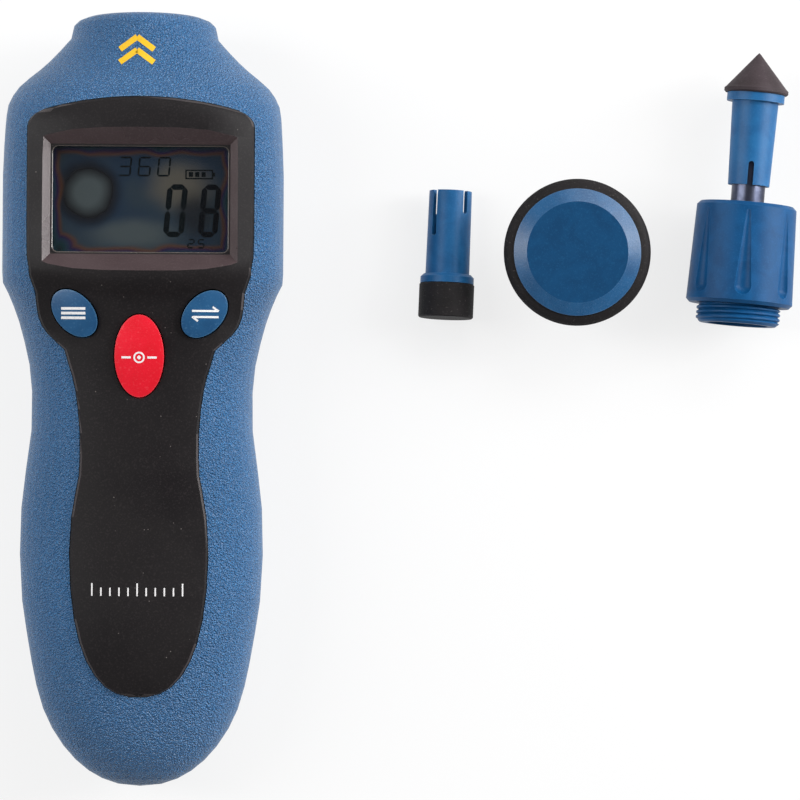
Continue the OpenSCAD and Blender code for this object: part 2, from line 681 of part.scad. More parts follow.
// Clear pane in the rebate under the window
module display_window() {
    color([0.8, 0.85, 0.9, 0.4])
        translate([-window_w / 2 - pane_rim, window_y - window_h / 2 - pane_rim, pane_top - pane_t])
            cube([window_w + 2 * pane_rim, window_h + 2 * pane_rim, pane_t]);
}

// Liquid crystal cell: two glass plates, the rear one with the contact ledges
module lcd_cell() {
    color([0.3, 0.34, 0.32]) {
        translate([-cell_w / 2, window_y - cell_h / 2 + cell_ledge, cell_top - cell_t / 2])
            cube([cell_w, cell_h - 2 * cell_ledge, cell_t / 2]);
        translate([-cell_w / 2, window_y - cell_h / 2, cell_top - cell_t])
            cube([cell_w, cell_h, cell_t / 2]);
    }
}

// Frame that holds the cell under the window and stands on the board
module lcd_holder() {
    lip = holder_lip;
    top = panel_seat_z - holder_drop;
    color([0.9, 0.9, 0.88]) difference() {
        union() {
            translate([-holder_w / 2, window_y - holder_h / 2, board_top + seat])
                cube([holder_w, holder_h, top - board_top - seat]);
            translate([-window_w / 2 - pane_rim + lip, window_y - window_h / 2 - pane_rim + lip,
                top - over])
                cube([window_w + 2 * (pane_rim - lip), window_h + 2 * (pane_rim - lip),
                    pane_top - pane_t - seat - top + over]);
        }
        translate([-cell_w / 2 - fit_gap, window_y - cell_h / 2 - fit_gap, board_top - over])
            cube([cell_w + 2 * fit_gap, cell_h + 2 * fit_gap, cell_top + seat - board_top + over]);
        translate([-window_w / 2 - lip, window_y - window_h / 2 - lip, board_top])
            cube([window_w + 2 * lip, window_h + 2 * lip, head_rise]);
    }
}

module backlight_box() {
    color([0.93, 0.93, 0.9])
        translate([-window_w / 2, window_y - window_h / 2 + strip_w, board_top])
            cube([window_w, window_h - 2 * strip_w, cell_top - cell_t - seat - board_top]);
}

// Elastomer strips that carry the display's contacts down to the board
module contact_strips() {
    color([0.85, 0.6, 0.62]) for (k = [-1, 1])
        translate([-window_w / 2, window_y + k * (cell_h / 2 - strip_w / 2 - seat) - strip_w / 2,
            board_top])
            cube([window_w, strip_w, cell_top - cell_t - board_top]);
}

// Main board: wide under the display, narrow between the waist bosses
board_top_y = nose_y - body_len * 0.1375;
board_end_y = nose_y - body_len * 0.575;
board_margin = 0.8;
board_ear_margin = 2.2;
board_shoulder = 5;   // where the board starts to narrow below the display holder
board_neck = 8;
board_ear_low = 1.5;
board_waist_drop = 5;
board_head_half = holder_w / 2 + board_margin;
board_ear_half = small_key_x + switch_size / 2 + board_ear_margin;
board_waist_half = waist_w * 0.263;
board_points = [[board_head_half, board_top_y], [board_head_half, window_y - holder_h / 2 - board_shoulder],
    [board_ear_half, window_y - holder_h / 2 - board_neck], [board_ear_half, big_key_y + board_ear_low],
    [board_waist_half, big_key_y - board_waist_drop], [board_waist_half, board_end_y]];
module main_board() {
    color(board_green) difference() {
        translate([0, 0, board_z]) linear_extrude(board_t)
            polygon(concat(board_points, [for (i = [len(board_points) - 1:-1:0])
                [-board_points[i][0], board_points[i][1]]]));
        at_posts() translate([0, 0, board_z - over]) cylinder(r = screw_r, h = board_t + 2 * over);
    }
}

module pan_screw(r, head_r, head_h, length) {
    translate([0, 0, -head_h]) difference() {
        cylinder(r = head_r, h = head_h);
        for (a = [0, 90]) rotate([0, 0, a])
            translate([-head_r * 0.6, -head_r * 0.12, -over])
                cube([head_r * 1.2, head_r * 0.24, head_h / 2 + over]);
    }
    cylinder(r = r, h = length);
}

module board_screws() {
    color(steel) at_posts() translate([0, 0, board_z - seat])
        pan_screw(post_screw_r, post_screw_head_r, post_screw_head_h, board_t + post_screw_bite);
}

// Components on the underside of the board
chip = 10;
chip_t = 1.4;
chip_stand = 0.2;
chip_drop = 4;
pins = 8;
pin_pitch = 1.1;
pin_w = 0.4;
pin_root = 0.2;
pin_len = 1.4;
module microcontroller() {
    color([0.1, 0.1, 0.11]) translate([0, window_y - chip_drop, board_z - chip_t]) {
        translate([-chip / 2, -chip / 2, 0]) cube([chip, chip, chip_t - chip_stand]);
        for (a = [0:90:270]) rotate([0, 0, a]) for (i = [0:pins - 1])
            translate([(i - (pins - 1) / 2) * pin_pitch - pin_w / 2, chip / 2 - pin_root, chip_stand])
                cube([pin_w, pin_len, chip_t - chip_stand]);
    }
}

crystal_x = 12;
crystal_drop = 6;
crystal_h = 3.5;
crystal_half = 3;
crystal_r = 2.2;
module quartz_crystal() {
    color(steel) translate([crystal_x, window_y - crystal_drop, board_z - crystal_h])
        linear_extrude(crystal_h) hull() {
            translate([0, crystal_half]) circle(r = crystal_r);
            translate([0, -crystal_half]) circle(r = crystal_r);
        }
}

capacitor_x = -12;
capacitor_split = 3;
capacitor_r = 2.5;
capacitor_h = 5.5;
module board_capacitors() {
    color([0.15, 0.15, 0.2]) for (k = [-1, 1])
        translate([capacitor_x + k * capacitor_split, small_key_y, board_z - capacitor_h])
            cylinder(r = capacitor_r, h = capacitor_h);
}

// Ring in the nose with the socket for the adapter's thread
module nose_ring() {
    color(panel_black) nose_frame() difference() {
        union() {
            translate([0, 0, -ring_len]) cylinder(r = ring_r, h = ring_len - ring_set_in, $fn = 96);
            translate([0, 0, ring_flange_z])
                cylinder(r = ring_face_r, h = -ring_flange_z - ring_set_in, $fn = 96);
            translate([0, 0, ring_flange_z - ring_flange_t])
                cylinder(r = ring_flange_r, h = ring_flange_t, $fn = 96);
        }
        translate([0, 0, -socket_deep]) cylinder(r = socket_r, h = socket_deep + over);
        translate([0, 0, -socket_deep - lens_window_t]) cylinder(r = filter_r, h = lens_window_t + over);
        translate([0, 0, -ring_len - over]) cylinder(r = optic_neck_r + seat, h = ring_len);
        translate([0, 0, -ring_set_in - ring_chamfer_h])
            cylinder(r1 = socket_r, r2 = socket_r + ring_chamfer_r, h = ring_chamfer_h + seat / 5);
    }
}

// Dark red filter at the bottom of the socket
module optic_window() {
    color([0.25, 0.03, 0.05]) nose_frame()
        translate([0, 0, -socket_deep - lens_window_t]) cylinder(r = filter_r - seat, h = lens_window_t);
}

// Moulded block that carries the laser and the receiver
module optic_holder() {
    neck = ring_len - socket_deep - lens_window_t;
    color(panel_black) nose_frame() difference() {
        union() {
            translate([0, 0, -ring_len - over]) cylinder(r = optic_neck_r, h = over + neck - seat);
            translate([0, 0, -ring_len - optic_len + neck])
                cylinder(r = optic_r, h = optic_len - neck - seat);
        }
        for (k = [-1, 1]) translate([k * optic_split, 0, -ring_len - optic_len])
            cylinder(r = (k < 0 ? laser_r : receiver_r) + seat, h = optic_len + ring_len);
    }
}

laser_gap = 0.6;
laser_bore_r = 2;
laser_bore_len = 1.6;
laser_lens_t = 1.2;
laser_front = -socket_deep - lens_window_t - laser_gap;
module laser_module() {
    color([0.78, 0.62, 0.3]) nose_frame() translate([-optic_split, 0, laser_front - laser_len])
        difference() {
            cylinder(r = laser_r, h = laser_len);
            translate([0, 0, laser_len - laser_bore_len])
                cylinder(r = laser_bore_r, h = laser_bore_len + over);
        }
}

module laser_lens() {
    color([0.8, 0.85, 0.9, 0.6]) nose_frame() translate([-optic_split, 0, laser_front - laser_bore_len])
        cylinder(r = laser_bore_r - seat, h = laser_lens_t);
}

// Plano-convex lens in front of the receiver
lens_t = 1.8;
lens_r = 7;
module receiver_lens() {
    color([0.8, 0.85, 0.9, 0.6]) nose_frame() translate([optic_split, 0, laser_front - lens_t])
        intersection() {
            cylinder(r = receiver_r, h = lens_t);
            translate([0, 0, lens_t - lens_r]) sphere(r = lens_r, $fn = 96);
        }
}

diode_r = 2.5;
diode_can = 3.2;
diode_flange_t = 0.8;
module photodiode() {
    color([0.15, 0.12, 0.14]) nose_frame() translate([optic_split, 0, -optic_back]) {
        cylinder(r = diode_r, h = diode_can);
        intersection() {
            translate([0, 0, diode_can]) sphere(r = diode_r);
            cylinder(r = diode_r, h = diode_can + diode_r);
        }
        cylinder(r = receiver_r - seat, h = diode_flange_t);
    }
}

sensor_board_step = 0.6;
module sensor_board() {
    color(board_green) nose_frame() translate([0, 0, -optic_back - sensor_board_t - seat]) difference() {
        cylinder(r = optic_r - sensor_board_step, h = sensor_board_t);
        translate([-optic_split, 0, -over]) cylinder(r = laser_r + fit_gap, h = sensor_board_t + 2 * over);
    }
}

// Three leads from the sensor board up to the main board: run, bend and riser
lead_r = 0.55;
sensor_lead_run = 0.8;
sensor_lead_bend = 1.2;
sensor_lead_x = 1;
sensor_lead_pitch = 2;
module bent_lead(run, bend, riser) {
    rotate([90, 0, 0]) cylinder(r = lead_r, h = run);
    translate([0, -run, bend]) rotate([0, -90, 0]) rotate([0, 0, 180]) rotate_extrude(angle = 90, $fn = 48)
        translate([bend, 0]) circle(r = lead_r, $fn = 24);
    translate([0, -run - bend, bend]) cylinder(r = lead_r, h = riser);
}

sensor_back = optic_back + sensor_board_t + seat;
module sensor_leads() {
    start_z = part_z + sensor_back * sin(nose_tilt);
    start_y = nose_centre_y - sensor_back * cos(nose_tilt) - fit_gap;
    color([0.8, 0.7, 0.2]) for (i = [0:2])
        translate([sensor_lead_x + i * sensor_lead_pitch, start_y, start_z])
            bent_lead(sensor_lead_run, sensor_lead_bend, board_z - start_z - sensor_lead_bend);
}

// Battery: case and the two press terminals
module battery() {
    color([0.3, 0.3, 0.33]) {
        translate([-battery_w / 2, battery_y - battery_len, battery_z])
            cube([battery_w, battery_len, battery_t]);
        for (k = [-1, 1]) translate([k * terminal_x, battery_y, battery_z + battery_t / 2])
            rotate([-90, 0, 0])
            cylinder(r = k < 0 ? small_terminal_r : big_terminal_r, h = terminal_h);
    }
}

// Snap connector on the terminals
snap_h = 12;
module battery_snap() {
    color([0.1, 0.1, 0.1]) translate([0, battery_y + seat, battery_z + battery_t / 2]) rotate([-90, 0, 0])
        difference() {
            linear_extrude(snap_t) hull() for (k = [-1, 1]) translate([k * (battery_w / 2 - snap_h / 2), 0])
                circle(r = snap_h / 2);
            for (k = [-1, 1]) translate([k * terminal_x, 0, -over])
                cylinder(r = fit_gap + (k < 0 ? small_terminal_r : big_terminal_r),
                    h = terminal_h + over + fit_gap);
        }
}

lead_x = 4;
lead_run = 0.8;
lead_bend = 2;
module battery_lead(x) {
    start_y = battery_y + seat + snap_t;
    start_z = battery_z + battery_t / 2;
    mirror([0, 1, 0]) translate([x, -start_y - fit_gap / 2, start_z])
        bent_lead(lead_run, lead_bend, board_z - start_z - lead_bend - fit_gap / 2);
}

module battery_lead_red() {
    color([0.8, 0.1, 0.1]) battery_lead(lead_x);
}

module battery_lead_black() {
    color([0.1, 0.1, 0.1]) battery_lead(-lead_x);
}

// Door that slides off towards the tail: plate with side tongues, rounded end and thumb grooves
end_square = 3;
groove_r = 0.5;
groove_len = 14;
groove_pitch = 2.2;
groove_from = 8;
door_row_shares = [0, 0.1, 0.25, 0.45, 0.65, 0.74, 0.80, 0.85, 0.89, 0.92, 0.945, 0.965, 0.98, 0.99];
function door_edge(y) =
    let(u = max(0, (door_round_y - y) / (door_round_y - door_end_y)))
    door_half * pow(1 - pow(u, end_square), 1 / end_square);
module battery_door() {
    rows = len(door_row_shares);
    cols = 9;
    function door_point(i, j, low) =
        let(y = mix(door_front_y, door_end_y, door_row_shares[i]),
            x = door_edge(y) * (1 - 2 * j / (cols - 1)))
        [x, y, low ? back_z(nose_y - y, x) : door_t];
    color(shell_blue) difference() {
        union() {
            slab([for (i = [0:rows - 1]) for (j = [0:cols - 1]) door_point(i, cols - 1 - j, false)],
                [for (i = [0:rows - 1]) for (j = [0:cols - 1]) door_point(i, cols - 1 - j, true)], rows,
                    cols);
            for (k = [-1, 1]) translate([k * door_half - tongue, door_front_y - tongue_len,
                door_t - tongue_t]) cube([2 * tongue, tongue_len, tongue_t]);
        }
        translate([-head_w, -body_len, -part_z]) cube([2 * head_w, 2 * body_len, part_z]);
        for (i = [0:4]) translate([0, door_end_y + groove_from + i * groove_pitch, 0]) rotate([0, 90, 0])
            cylinder(r = groove_r, h = groove_len, center = true);
    }
}

module case_screws() {
    color(steel) at_screws() translate([0, 0, screw_seat_z - seat])
        pan_screw(screw_r - screw_clear, screw_head_r, screw_head_h, screw_sink + screw_bite);
}

// The accessories lie in a row beside the instrument
flat_x = 62.8;
wheel_apart = 27.2;   // from the flat tip to the wheel
adapter_apart = 33.6; // from the wheel to the adapter
wheel_x = flat_x + wheel_apart;
adapter_x = wheel_x + adapter_apart;

// Contact adapter. Its own frame has +Z along the shaft, with 0 at the threaded end.
adapter_yaw = 4.4;
adapter_y = 16.6;
adapter_rim = 0.7;
adapter_dip = atan((adapter_r - adapter_front_r) / (adapter_len - 2 * adapter_rim));
body_front = thread_len + adapter_len;
module adapter_frame() {
    height = adapter_r * cos(adapter_dip) + (thread_len + adapter_rim) * sin(adapter_dip);
    translate([adapter_x, adapter_y, height])
        rotate([0, 0, -adapter_yaw]) rotate([-90 - adapter_dip, 0, 0]) children();
}

bearing_r = 5.5;
bearing_bore = 2;
bearing_w = 4;
spindle_gap = 0.03;
spindle_r = bearing_bore - spindle_gap;
race_w = 1;
shield_sink = 0.4;
face_r = 7.1;
face_sink = 1;
face_t = 1.6;
face_bore_gap = 0.4;
notch_w = 1.1;
notch_l = 1.4;
notch_deep = 0.8;
module adapter_body() {
    color(tip_blue) adapter_frame() difference() {
        rotate_extrude($fn = 96) polygon([[0, thread_len], [adapter_r - adapter_rim, thread_len],
            [adapter_r, thread_len + adapter_rim], [adapter_front_r, body_front - adapter_rim],
            [adapter_front_r - adapter_rim, body_front], [0, body_front]]);
        translate([0, 0, body_front - face_sink - face_t])
            cylinder(r = face_r + seat, h = face_t + face_sink + over);
        translate([0, 0, thread_len - over])
            cylinder(r = bearing_r + seat, h = adapter_len + over - face_sink - face_t + over / 10);
        translate([0, 0, thread_len - over]) cylinder(r = base_plug_r + seat, h = base_plug_len + over);
        for (i = [0:flutes - 1]) rotate([0, 0, 270 + i * 360 / flutes]) flute();
        rotate([0, 0, 190]) translate([(face_r + adapter_front_r - notch_w) / 2, -notch_l / 2,
            body_front - notch_deep])
            cube([notch_w, notch_l, notch_deep + over]);
    }
}

// One grip flute: shallow at the shaft end, deep with a round end near the thread
flute_r = 2;
flute_tip_r = 0.6;
flute_out = 0.75;
flute_tip_out = 0.5;
flute_start = 3.6;
flute_spare = 5.2;
module flute() {
    start = thread_len + flute_start;
    length = adapter_len - flute_spare;
    slope = atan((adapter_r + flute_out - adapter_front_r - flute_tip_out) / length);
    translate([adapter_r + flute_out, 0, start]) {
        rotate([0, -slope, 0]) cylinder(r1 = flute_r, r2 = flute_tip_r, h = length);
        sphere(r = flute_r);
    }
}

base_plug_r = 7.4;
base_plug_len = 4.4;
base_bore_r = 6.4;
module adapter_base() {
    color(tip_blue) adapter_frame() difference() {
        union() {
            cylinder(r = thread_r, h = thread_len - seat, $fn = 96);
            cylinder(r = base_plug_r, h = thread_len + base_plug_len - seat);
        }
        translate([0, 0, -over]) cylinder(r = base_bore_r, h = thread_len + base_plug_len + 2 * over);
    }
}

// Recessed cap over the front bearing
module adapter_face() {
    color(tip_blue) adapter_frame() translate([0, 0, body_front - face_sink - face_t]) difference() {
        cylinder(r = face_r, h = face_t);
        translate([0, 0, -over]) cylinder(r = shaft_r + face_bore_gap, h = face_t + 2 * over);
    }
}

front_bearing = body_front - face_sink - face_t - seat - bearing_w;
rear_bearing = thread_len + base_plug_len + seat;
module shaft_bearings() {
    color(steel) adapter_frame() for (z = [rear_bearing, front_bearing]) translate([0, 0, z])
        rotate_extrude($fn = 96) difference() {
            translate([bearing_bore, 0]) square([bearing_r - bearing_bore, bearing_w]);
            for (k = [-over, bearing_w - shield_sink]) translate([bearing_bore + race_w, k])
                square([bearing_r - bearing_bore - 2 * race_w, over + shield_sink]);
        }
}

// Steel shaft: slim spindle in the bearings, full diameter outside
shaft_gap = 3.9;
sleeve_seat = body_front + shaft_gap;
tip_bore_len = 14.5;
shoulder_gap = 0.2;
shaft_shoulder = body_front - face_sink - face_t + shoulder_gap;
shaft_end_gap = 0.5;
shaft_nib = 0.6;
clip_groove = 0.4;
clip_r = 4;
disc_z = 2.2;
disc_t = 1.4;
clip_t = 0.8;
clip_z = rear_bearing - clip_t - fit_gap;
module adapter_shaft() {
    nib = shaft_nib;
    shaft_end = sleeve_seat + tip_bore_len - shaft_end_gap;
    color(steel) adapter_frame() difference() {
        rotate_extrude($fn = 96) polygon([[0, disc_z + disc_t], [spindle_r, disc_z + disc_t],
            [spindle_r, shaft_shoulder], [shaft_r, shaft_shoulder], [shaft_r, shaft_end - nib],
            [shaft_r - nib, shaft_end], [0, shaft_end]]);
        translate([0, 0, clip_z]) difference() {
            cylinder(r = shaft_r, h = clip_t);
            translate([0, 0, -over]) cylinder(r = spindle_r - clip_groove, h = clip_t + 2 * over);
        }
    }
}

// Disc whose light sector the optics in the nose count
disc_gap = 0.5;
module encoder_disc() {
    color([0.85, 0.85, 0.85]) adapter_frame() translate([0, 0, disc_z])
        cylinder(r = base_bore_r - disc_gap, h = disc_t - fit_gap / 10);
}

module shaft_clip() {
    color(steel) adapter_frame() translate([0, 0, clip_z + seat / 2]) difference() {
        cylinder(r = clip_r, h = clip_t - seat);
        translate([0, 0, -over]) cylinder(r = spindle_r - clip_groove + seat, h = clip_t + 2 * over);
        translate([0, -spindle_r * 0.7, -over]) cube([clip_r + over, spindle_r * 1.4, clip_t + 2 * over]);
    }
}

// Slotted sleeve that grips the shaft, with its mouth at 0 and pointing down
slot_w = 1.2;
long_slot = sleeve_len * 0.55;
short_slot = sleeve_len * 0.28;
tip_bore_r = shaft_r + seat;
mouth_slim = 0.2;
root_swell = 0.3;
module sleeve(length, mouth_r, root_r, turn, bore_len, shallow) {
    difference() {
        cylinder(r1 = mouth_r, r2 = root_r, h = length);
        translate([0, 0, -over]) cylinder(r = tip_bore_r, h = bore_len + over);
        for (i = [0:3]) rotate([0, 0, turn + i * 90]) {
            deep = (i % 2 == shallow) ? short_slot : long_slot;
            translate([0, -slot_w / 2, -over]) cube([root_r + over, slot_w, deep + over - slot_w / 2]);
            translate([0, 0, deep - slot_w / 2]) rotate([0, 90, 0])
                cylinder(r = slot_w / 2, h = root_r + over);
        }
    }
}

collar_t = 1.7;
collar_r = 6;
spigot_r = 3.2;
spigot_len = 3.4;
module cone_holder() {
    color(tip_blue) adapter_frame() translate([0, 0, sleeve_seat]) {
        sleeve(sleeve_len, sleeve_r - mouth_slim, sleeve_r + root_swell, 270, tip_bore_len, 0);
        translate([0, 0, sleeve_len]) cylinder(r = collar_r, h = collar_t);
        translate([0, 0, sleeve_len + collar_t / 2]) cylinder(r = spigot_r, h = collar_t / 2 + spigot_len);
    }
}

cone_lip = 0.9;
cone_foot = 0.3;
cone_roll = 0.35;
cone_nose_r = 0.45;
module rubber_cone() {
    color(rubber_black) adapter_frame()
        translate([0, 0, sleeve_seat + sleeve_len + collar_t + seat]) difference() {
            rotate_extrude($fn = 96) polygon([[0, 0], [cone_r - cone_foot, 0], [cone_r, cone_foot],
                [cone_r, cone_lip], [cone_r - cone_roll, cone_lip + cone_foot],
                [cone_nose_r, cone_h - cone_nose_r], [0, cone_h]]);
            translate([0, 0, -over]) cylinder(r = spigot_r + seat, h = spigot_len + over + fit_gap);
        }
}

// Flat tip, lying on its rubber and its mouth. Its own frame has +Z from the rubber to the mouth.
flat_yaw = 2;
flat_y = 17.6;
flat_rim = 0.25;
flat_collar_t = 1.9;
flat_collar_step = 0.15;
flat_collar_r = flat_tip_r - flat_collar_step;
flat_collar_rim = 0.6;
flat_mouth_slim = 0.1;
flat_mouth_r = sleeve_r - flat_mouth_slim;
flat_len = flat_tip_len + flat_collar_t + sleeve_len;
flat_dip = atan((flat_tip_r - flat_mouth_r) / (flat_len - flat_tip_len + flat_rim));
module flat_frame() {
    height = flat_tip_r * cos(flat_dip) + (flat_tip_len - flat_rim) * sin(flat_dip);
    translate([flat_x, flat_y, height]) rotate([0, 0, -flat_yaw])
        rotate([-90 - flat_dip, 0, 0]) children();
}

module flat_tip_holder() {
    chamfer = flat_collar_rim;
    color(tip_blue) flat_frame() {
        translate([0, 0, flat_len]) mirror([0, 0, 1])
            sleeve(sleeve_len, flat_mouth_r, sleeve_r + seat, 45, tip_bore_len, 1);
        translate([0, 0, flat_tip_len]) rotate_extrude($fn = 96) polygon([[0, 0], [flat_collar_r, 0],
            [flat_collar_r, flat_collar_t - chamfer], [flat_collar_r - chamfer, flat_collar_t],
            [0, flat_collar_t]]);
        translate([0, 0, flat_tip_len - spigot_len])
            cylinder(r = spigot_r, h = spigot_len + flat_collar_t / 2);
    }
}

module flat_tip_rubber() {
    color(rubber_black) flat_frame() difference() {
        rotate_extrude($fn = 96) polygon([[0, 0], [flat_tip_r - flat_rim, 0], [flat_tip_r, flat_rim],
            [flat_tip_r, flat_tip_len - flat_rim], [flat_tip_r - flat_rim, flat_tip_len - seat],
            [0, flat_tip_len - seat]]);
        translate([0, 0, flat_tip_len - spigot_len - fit_gap])
            cylinder(r = spigot_r + seat, h = spigot_len + over);
    }
}

// Speed wheel, standing on its sleeve with the face up
wheel_y = 31.3;
tyre_wall = 2.05;     // tyre seen round the hub's face
hub_bevel = 2.7;      // width of the bevel round the face
tyre_deep = 3.2;      // depth of the tyre in its groove
hub_r = wheel_r - tyre_wall;
hub_land = hub_r - hub_bevel;
hub_flange_t = 1.4;   // height of the hub's face above the tyre, less its crown
hub_t = tyre_w + hub_flange_t;
hub_rise = 1.3;
hub_crown = 0.5;
hub_edge = 0.7;
hub_back_step = 0.5;
hub_back_t = 0.4;
hub_root = 1;
stem_short = 4;
stem_len = sleeve_len - stem_short;
stem_bore_gap = 1.5;
tyre_in = wheel_r - tyre_deep;
tyre_rim = 1;
module wheel_hub() {
    color(key_blue) translate([wheel_x, wheel_y, 0]) {
        sleeve(stem_len, sleeve_r, sleeve_r + fit_gap, 20, stem_len - stem_bore_gap, 0);
        translate([0, 0, stem_len]) rotate_extrude($fn = 96) polygon([[0, -hub_root],
            [sleeve_r, -hub_root], [sleeve_r + hub_root, 0], [hub_r - hub_back_step, 0],
            [hub_r - hub_back_step, hub_back_t], [tyre_in, hub_back_t], [tyre_in, hub_back_t + tyre_w],
            [hub_r, hub_back_t + tyre_w], [hub_r, hub_t - hub_rise + hub_edge],
            [hub_land, hub_t + hub_crown], [0, hub_t + hub_crown]]);
    }
}

module wheel_tyre() {
    low = stem_len + hub_back_t + seat;
    high = low + tyre_w - 2 * seat;
    color(rubber_black) translate([wheel_x, wheel_y, 0]) rotate_extrude($fn = 96)
        polygon([[tyre_in + seat, low], [wheel_r - tyre_rim, low], [wheel_r, low + tyre_rim],
            [wheel_r, high - tyre_rim], [wheel_r - tyre_rim, high], [tyre_in + seat, high]]);
}

front_shell();
rear_shell();
face_panel();
display_window();
lcd_cell();
lcd_holder();
backlight_box();
contact_strips();
main_board();
board_screws();
microcontroller();
quartz_crystal();
board_capacitors();
key_switches();
memory_key();
measure_key();
mode_key();
memory_plunger();
measure_plunger();
mode_plunger();
nose_ring();
optic_window();
optic_holder();
laser_module();
laser_lens();
receiver_lens();
photodiode();
sensor_board();
sensor_leads();
battery();
battery_snap();
battery_lead_red();
battery_lead_black();
battery_door();
case_screws();
adapter_body();
adapter_base();
adapter_face();
shaft_bearings();
adapter_shaft();
encoder_disc();
shaft_clip();
cone_holder();
rubber_cone();
flat_tip_holder();
flat_tip_rubber();
wheel_hub();
wheel_tyre();
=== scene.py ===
"""Looks of a hand-held laser tachometer and its contact accessories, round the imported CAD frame."""
import math

import bmesh
import bpy
from mathutils import Matrix, Vector
from mathutils.bvhtree import BVHTree


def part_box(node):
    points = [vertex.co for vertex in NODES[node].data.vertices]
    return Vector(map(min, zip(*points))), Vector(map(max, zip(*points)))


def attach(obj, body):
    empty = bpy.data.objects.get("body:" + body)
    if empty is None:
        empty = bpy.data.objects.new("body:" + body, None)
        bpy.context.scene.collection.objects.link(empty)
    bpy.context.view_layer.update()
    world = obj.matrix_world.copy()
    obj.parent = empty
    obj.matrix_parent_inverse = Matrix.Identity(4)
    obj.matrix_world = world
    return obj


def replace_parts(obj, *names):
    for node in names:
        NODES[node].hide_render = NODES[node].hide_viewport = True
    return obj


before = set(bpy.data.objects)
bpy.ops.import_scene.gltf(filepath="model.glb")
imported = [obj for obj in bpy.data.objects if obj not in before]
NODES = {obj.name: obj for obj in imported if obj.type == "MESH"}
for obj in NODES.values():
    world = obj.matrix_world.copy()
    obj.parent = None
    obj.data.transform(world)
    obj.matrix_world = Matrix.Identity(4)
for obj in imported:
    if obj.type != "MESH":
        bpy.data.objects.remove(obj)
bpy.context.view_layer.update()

MM = 0.001

# Places and sizes of the pieces added here, in millimetres, as the CAD has them
DISPLAY_X, DISPLAY_Y = 0.0, 41.07       # middle of the window
CELL_TOP = 34.3
PART_Z = 19.0                           # where the two shells meet
PANE_TOP = 37.6
WINDOW_W, WINDOW_H = 36.8, 22.5
SMALL_KEY = (13.3, 17.66)
BIG_KEY = (0.0, 9.0)
SCALE_ROW = (-0.2, -38.9)               # row of ticks on the handle
AIM_MARK = (-1.0, 71.7)                 # yellow mark on the nose
ADAPTER_PLACE = (123.6, 16.6, 11.259)
ADAPTER_YAW, ADAPTER_DIP = 4.4, 2.025
THREAD_LEN, THREAD_R, THREAD_DEPTH, THREAD_PITCH = 3.95, 8.75, 0.5, 1.0
PLUG_R, PLUG_END, BASE_BORE_R = 7.4, 8.35, 6.4
WHEEL_BEVEL_LOW = 18.7                  # lower edge of the slope round the wheel's disc
BATTERY_BANDS_Y = (-29.5, -29.0)        # where the battery's two colours meet
SHAFT_AXIS = (0.076672, 0.996430, -0.035332)

# Camera, straight above as in the photograph: place in millimetres, lens for a 36 mm sensor, roll in degrees
CAMERA_PLACE, CAMERA_LENS, CAMERA_ROLL = (53.4, 0.37, 1400), 299.7, 0.4
WORLD_STRENGTH, FLOOR_GLOW = 0.245, 0.78


def lin(r, g, b):
    """An sRGB colour, 0 to 255, as linear RGBA."""
    def one(v):
        v /= 255
        return v / 12.92 if v <= 0.04045 else ((v + 0.055) / 1.055) ** 2.4
    return (one(r), one(g), one(b), 1.0)


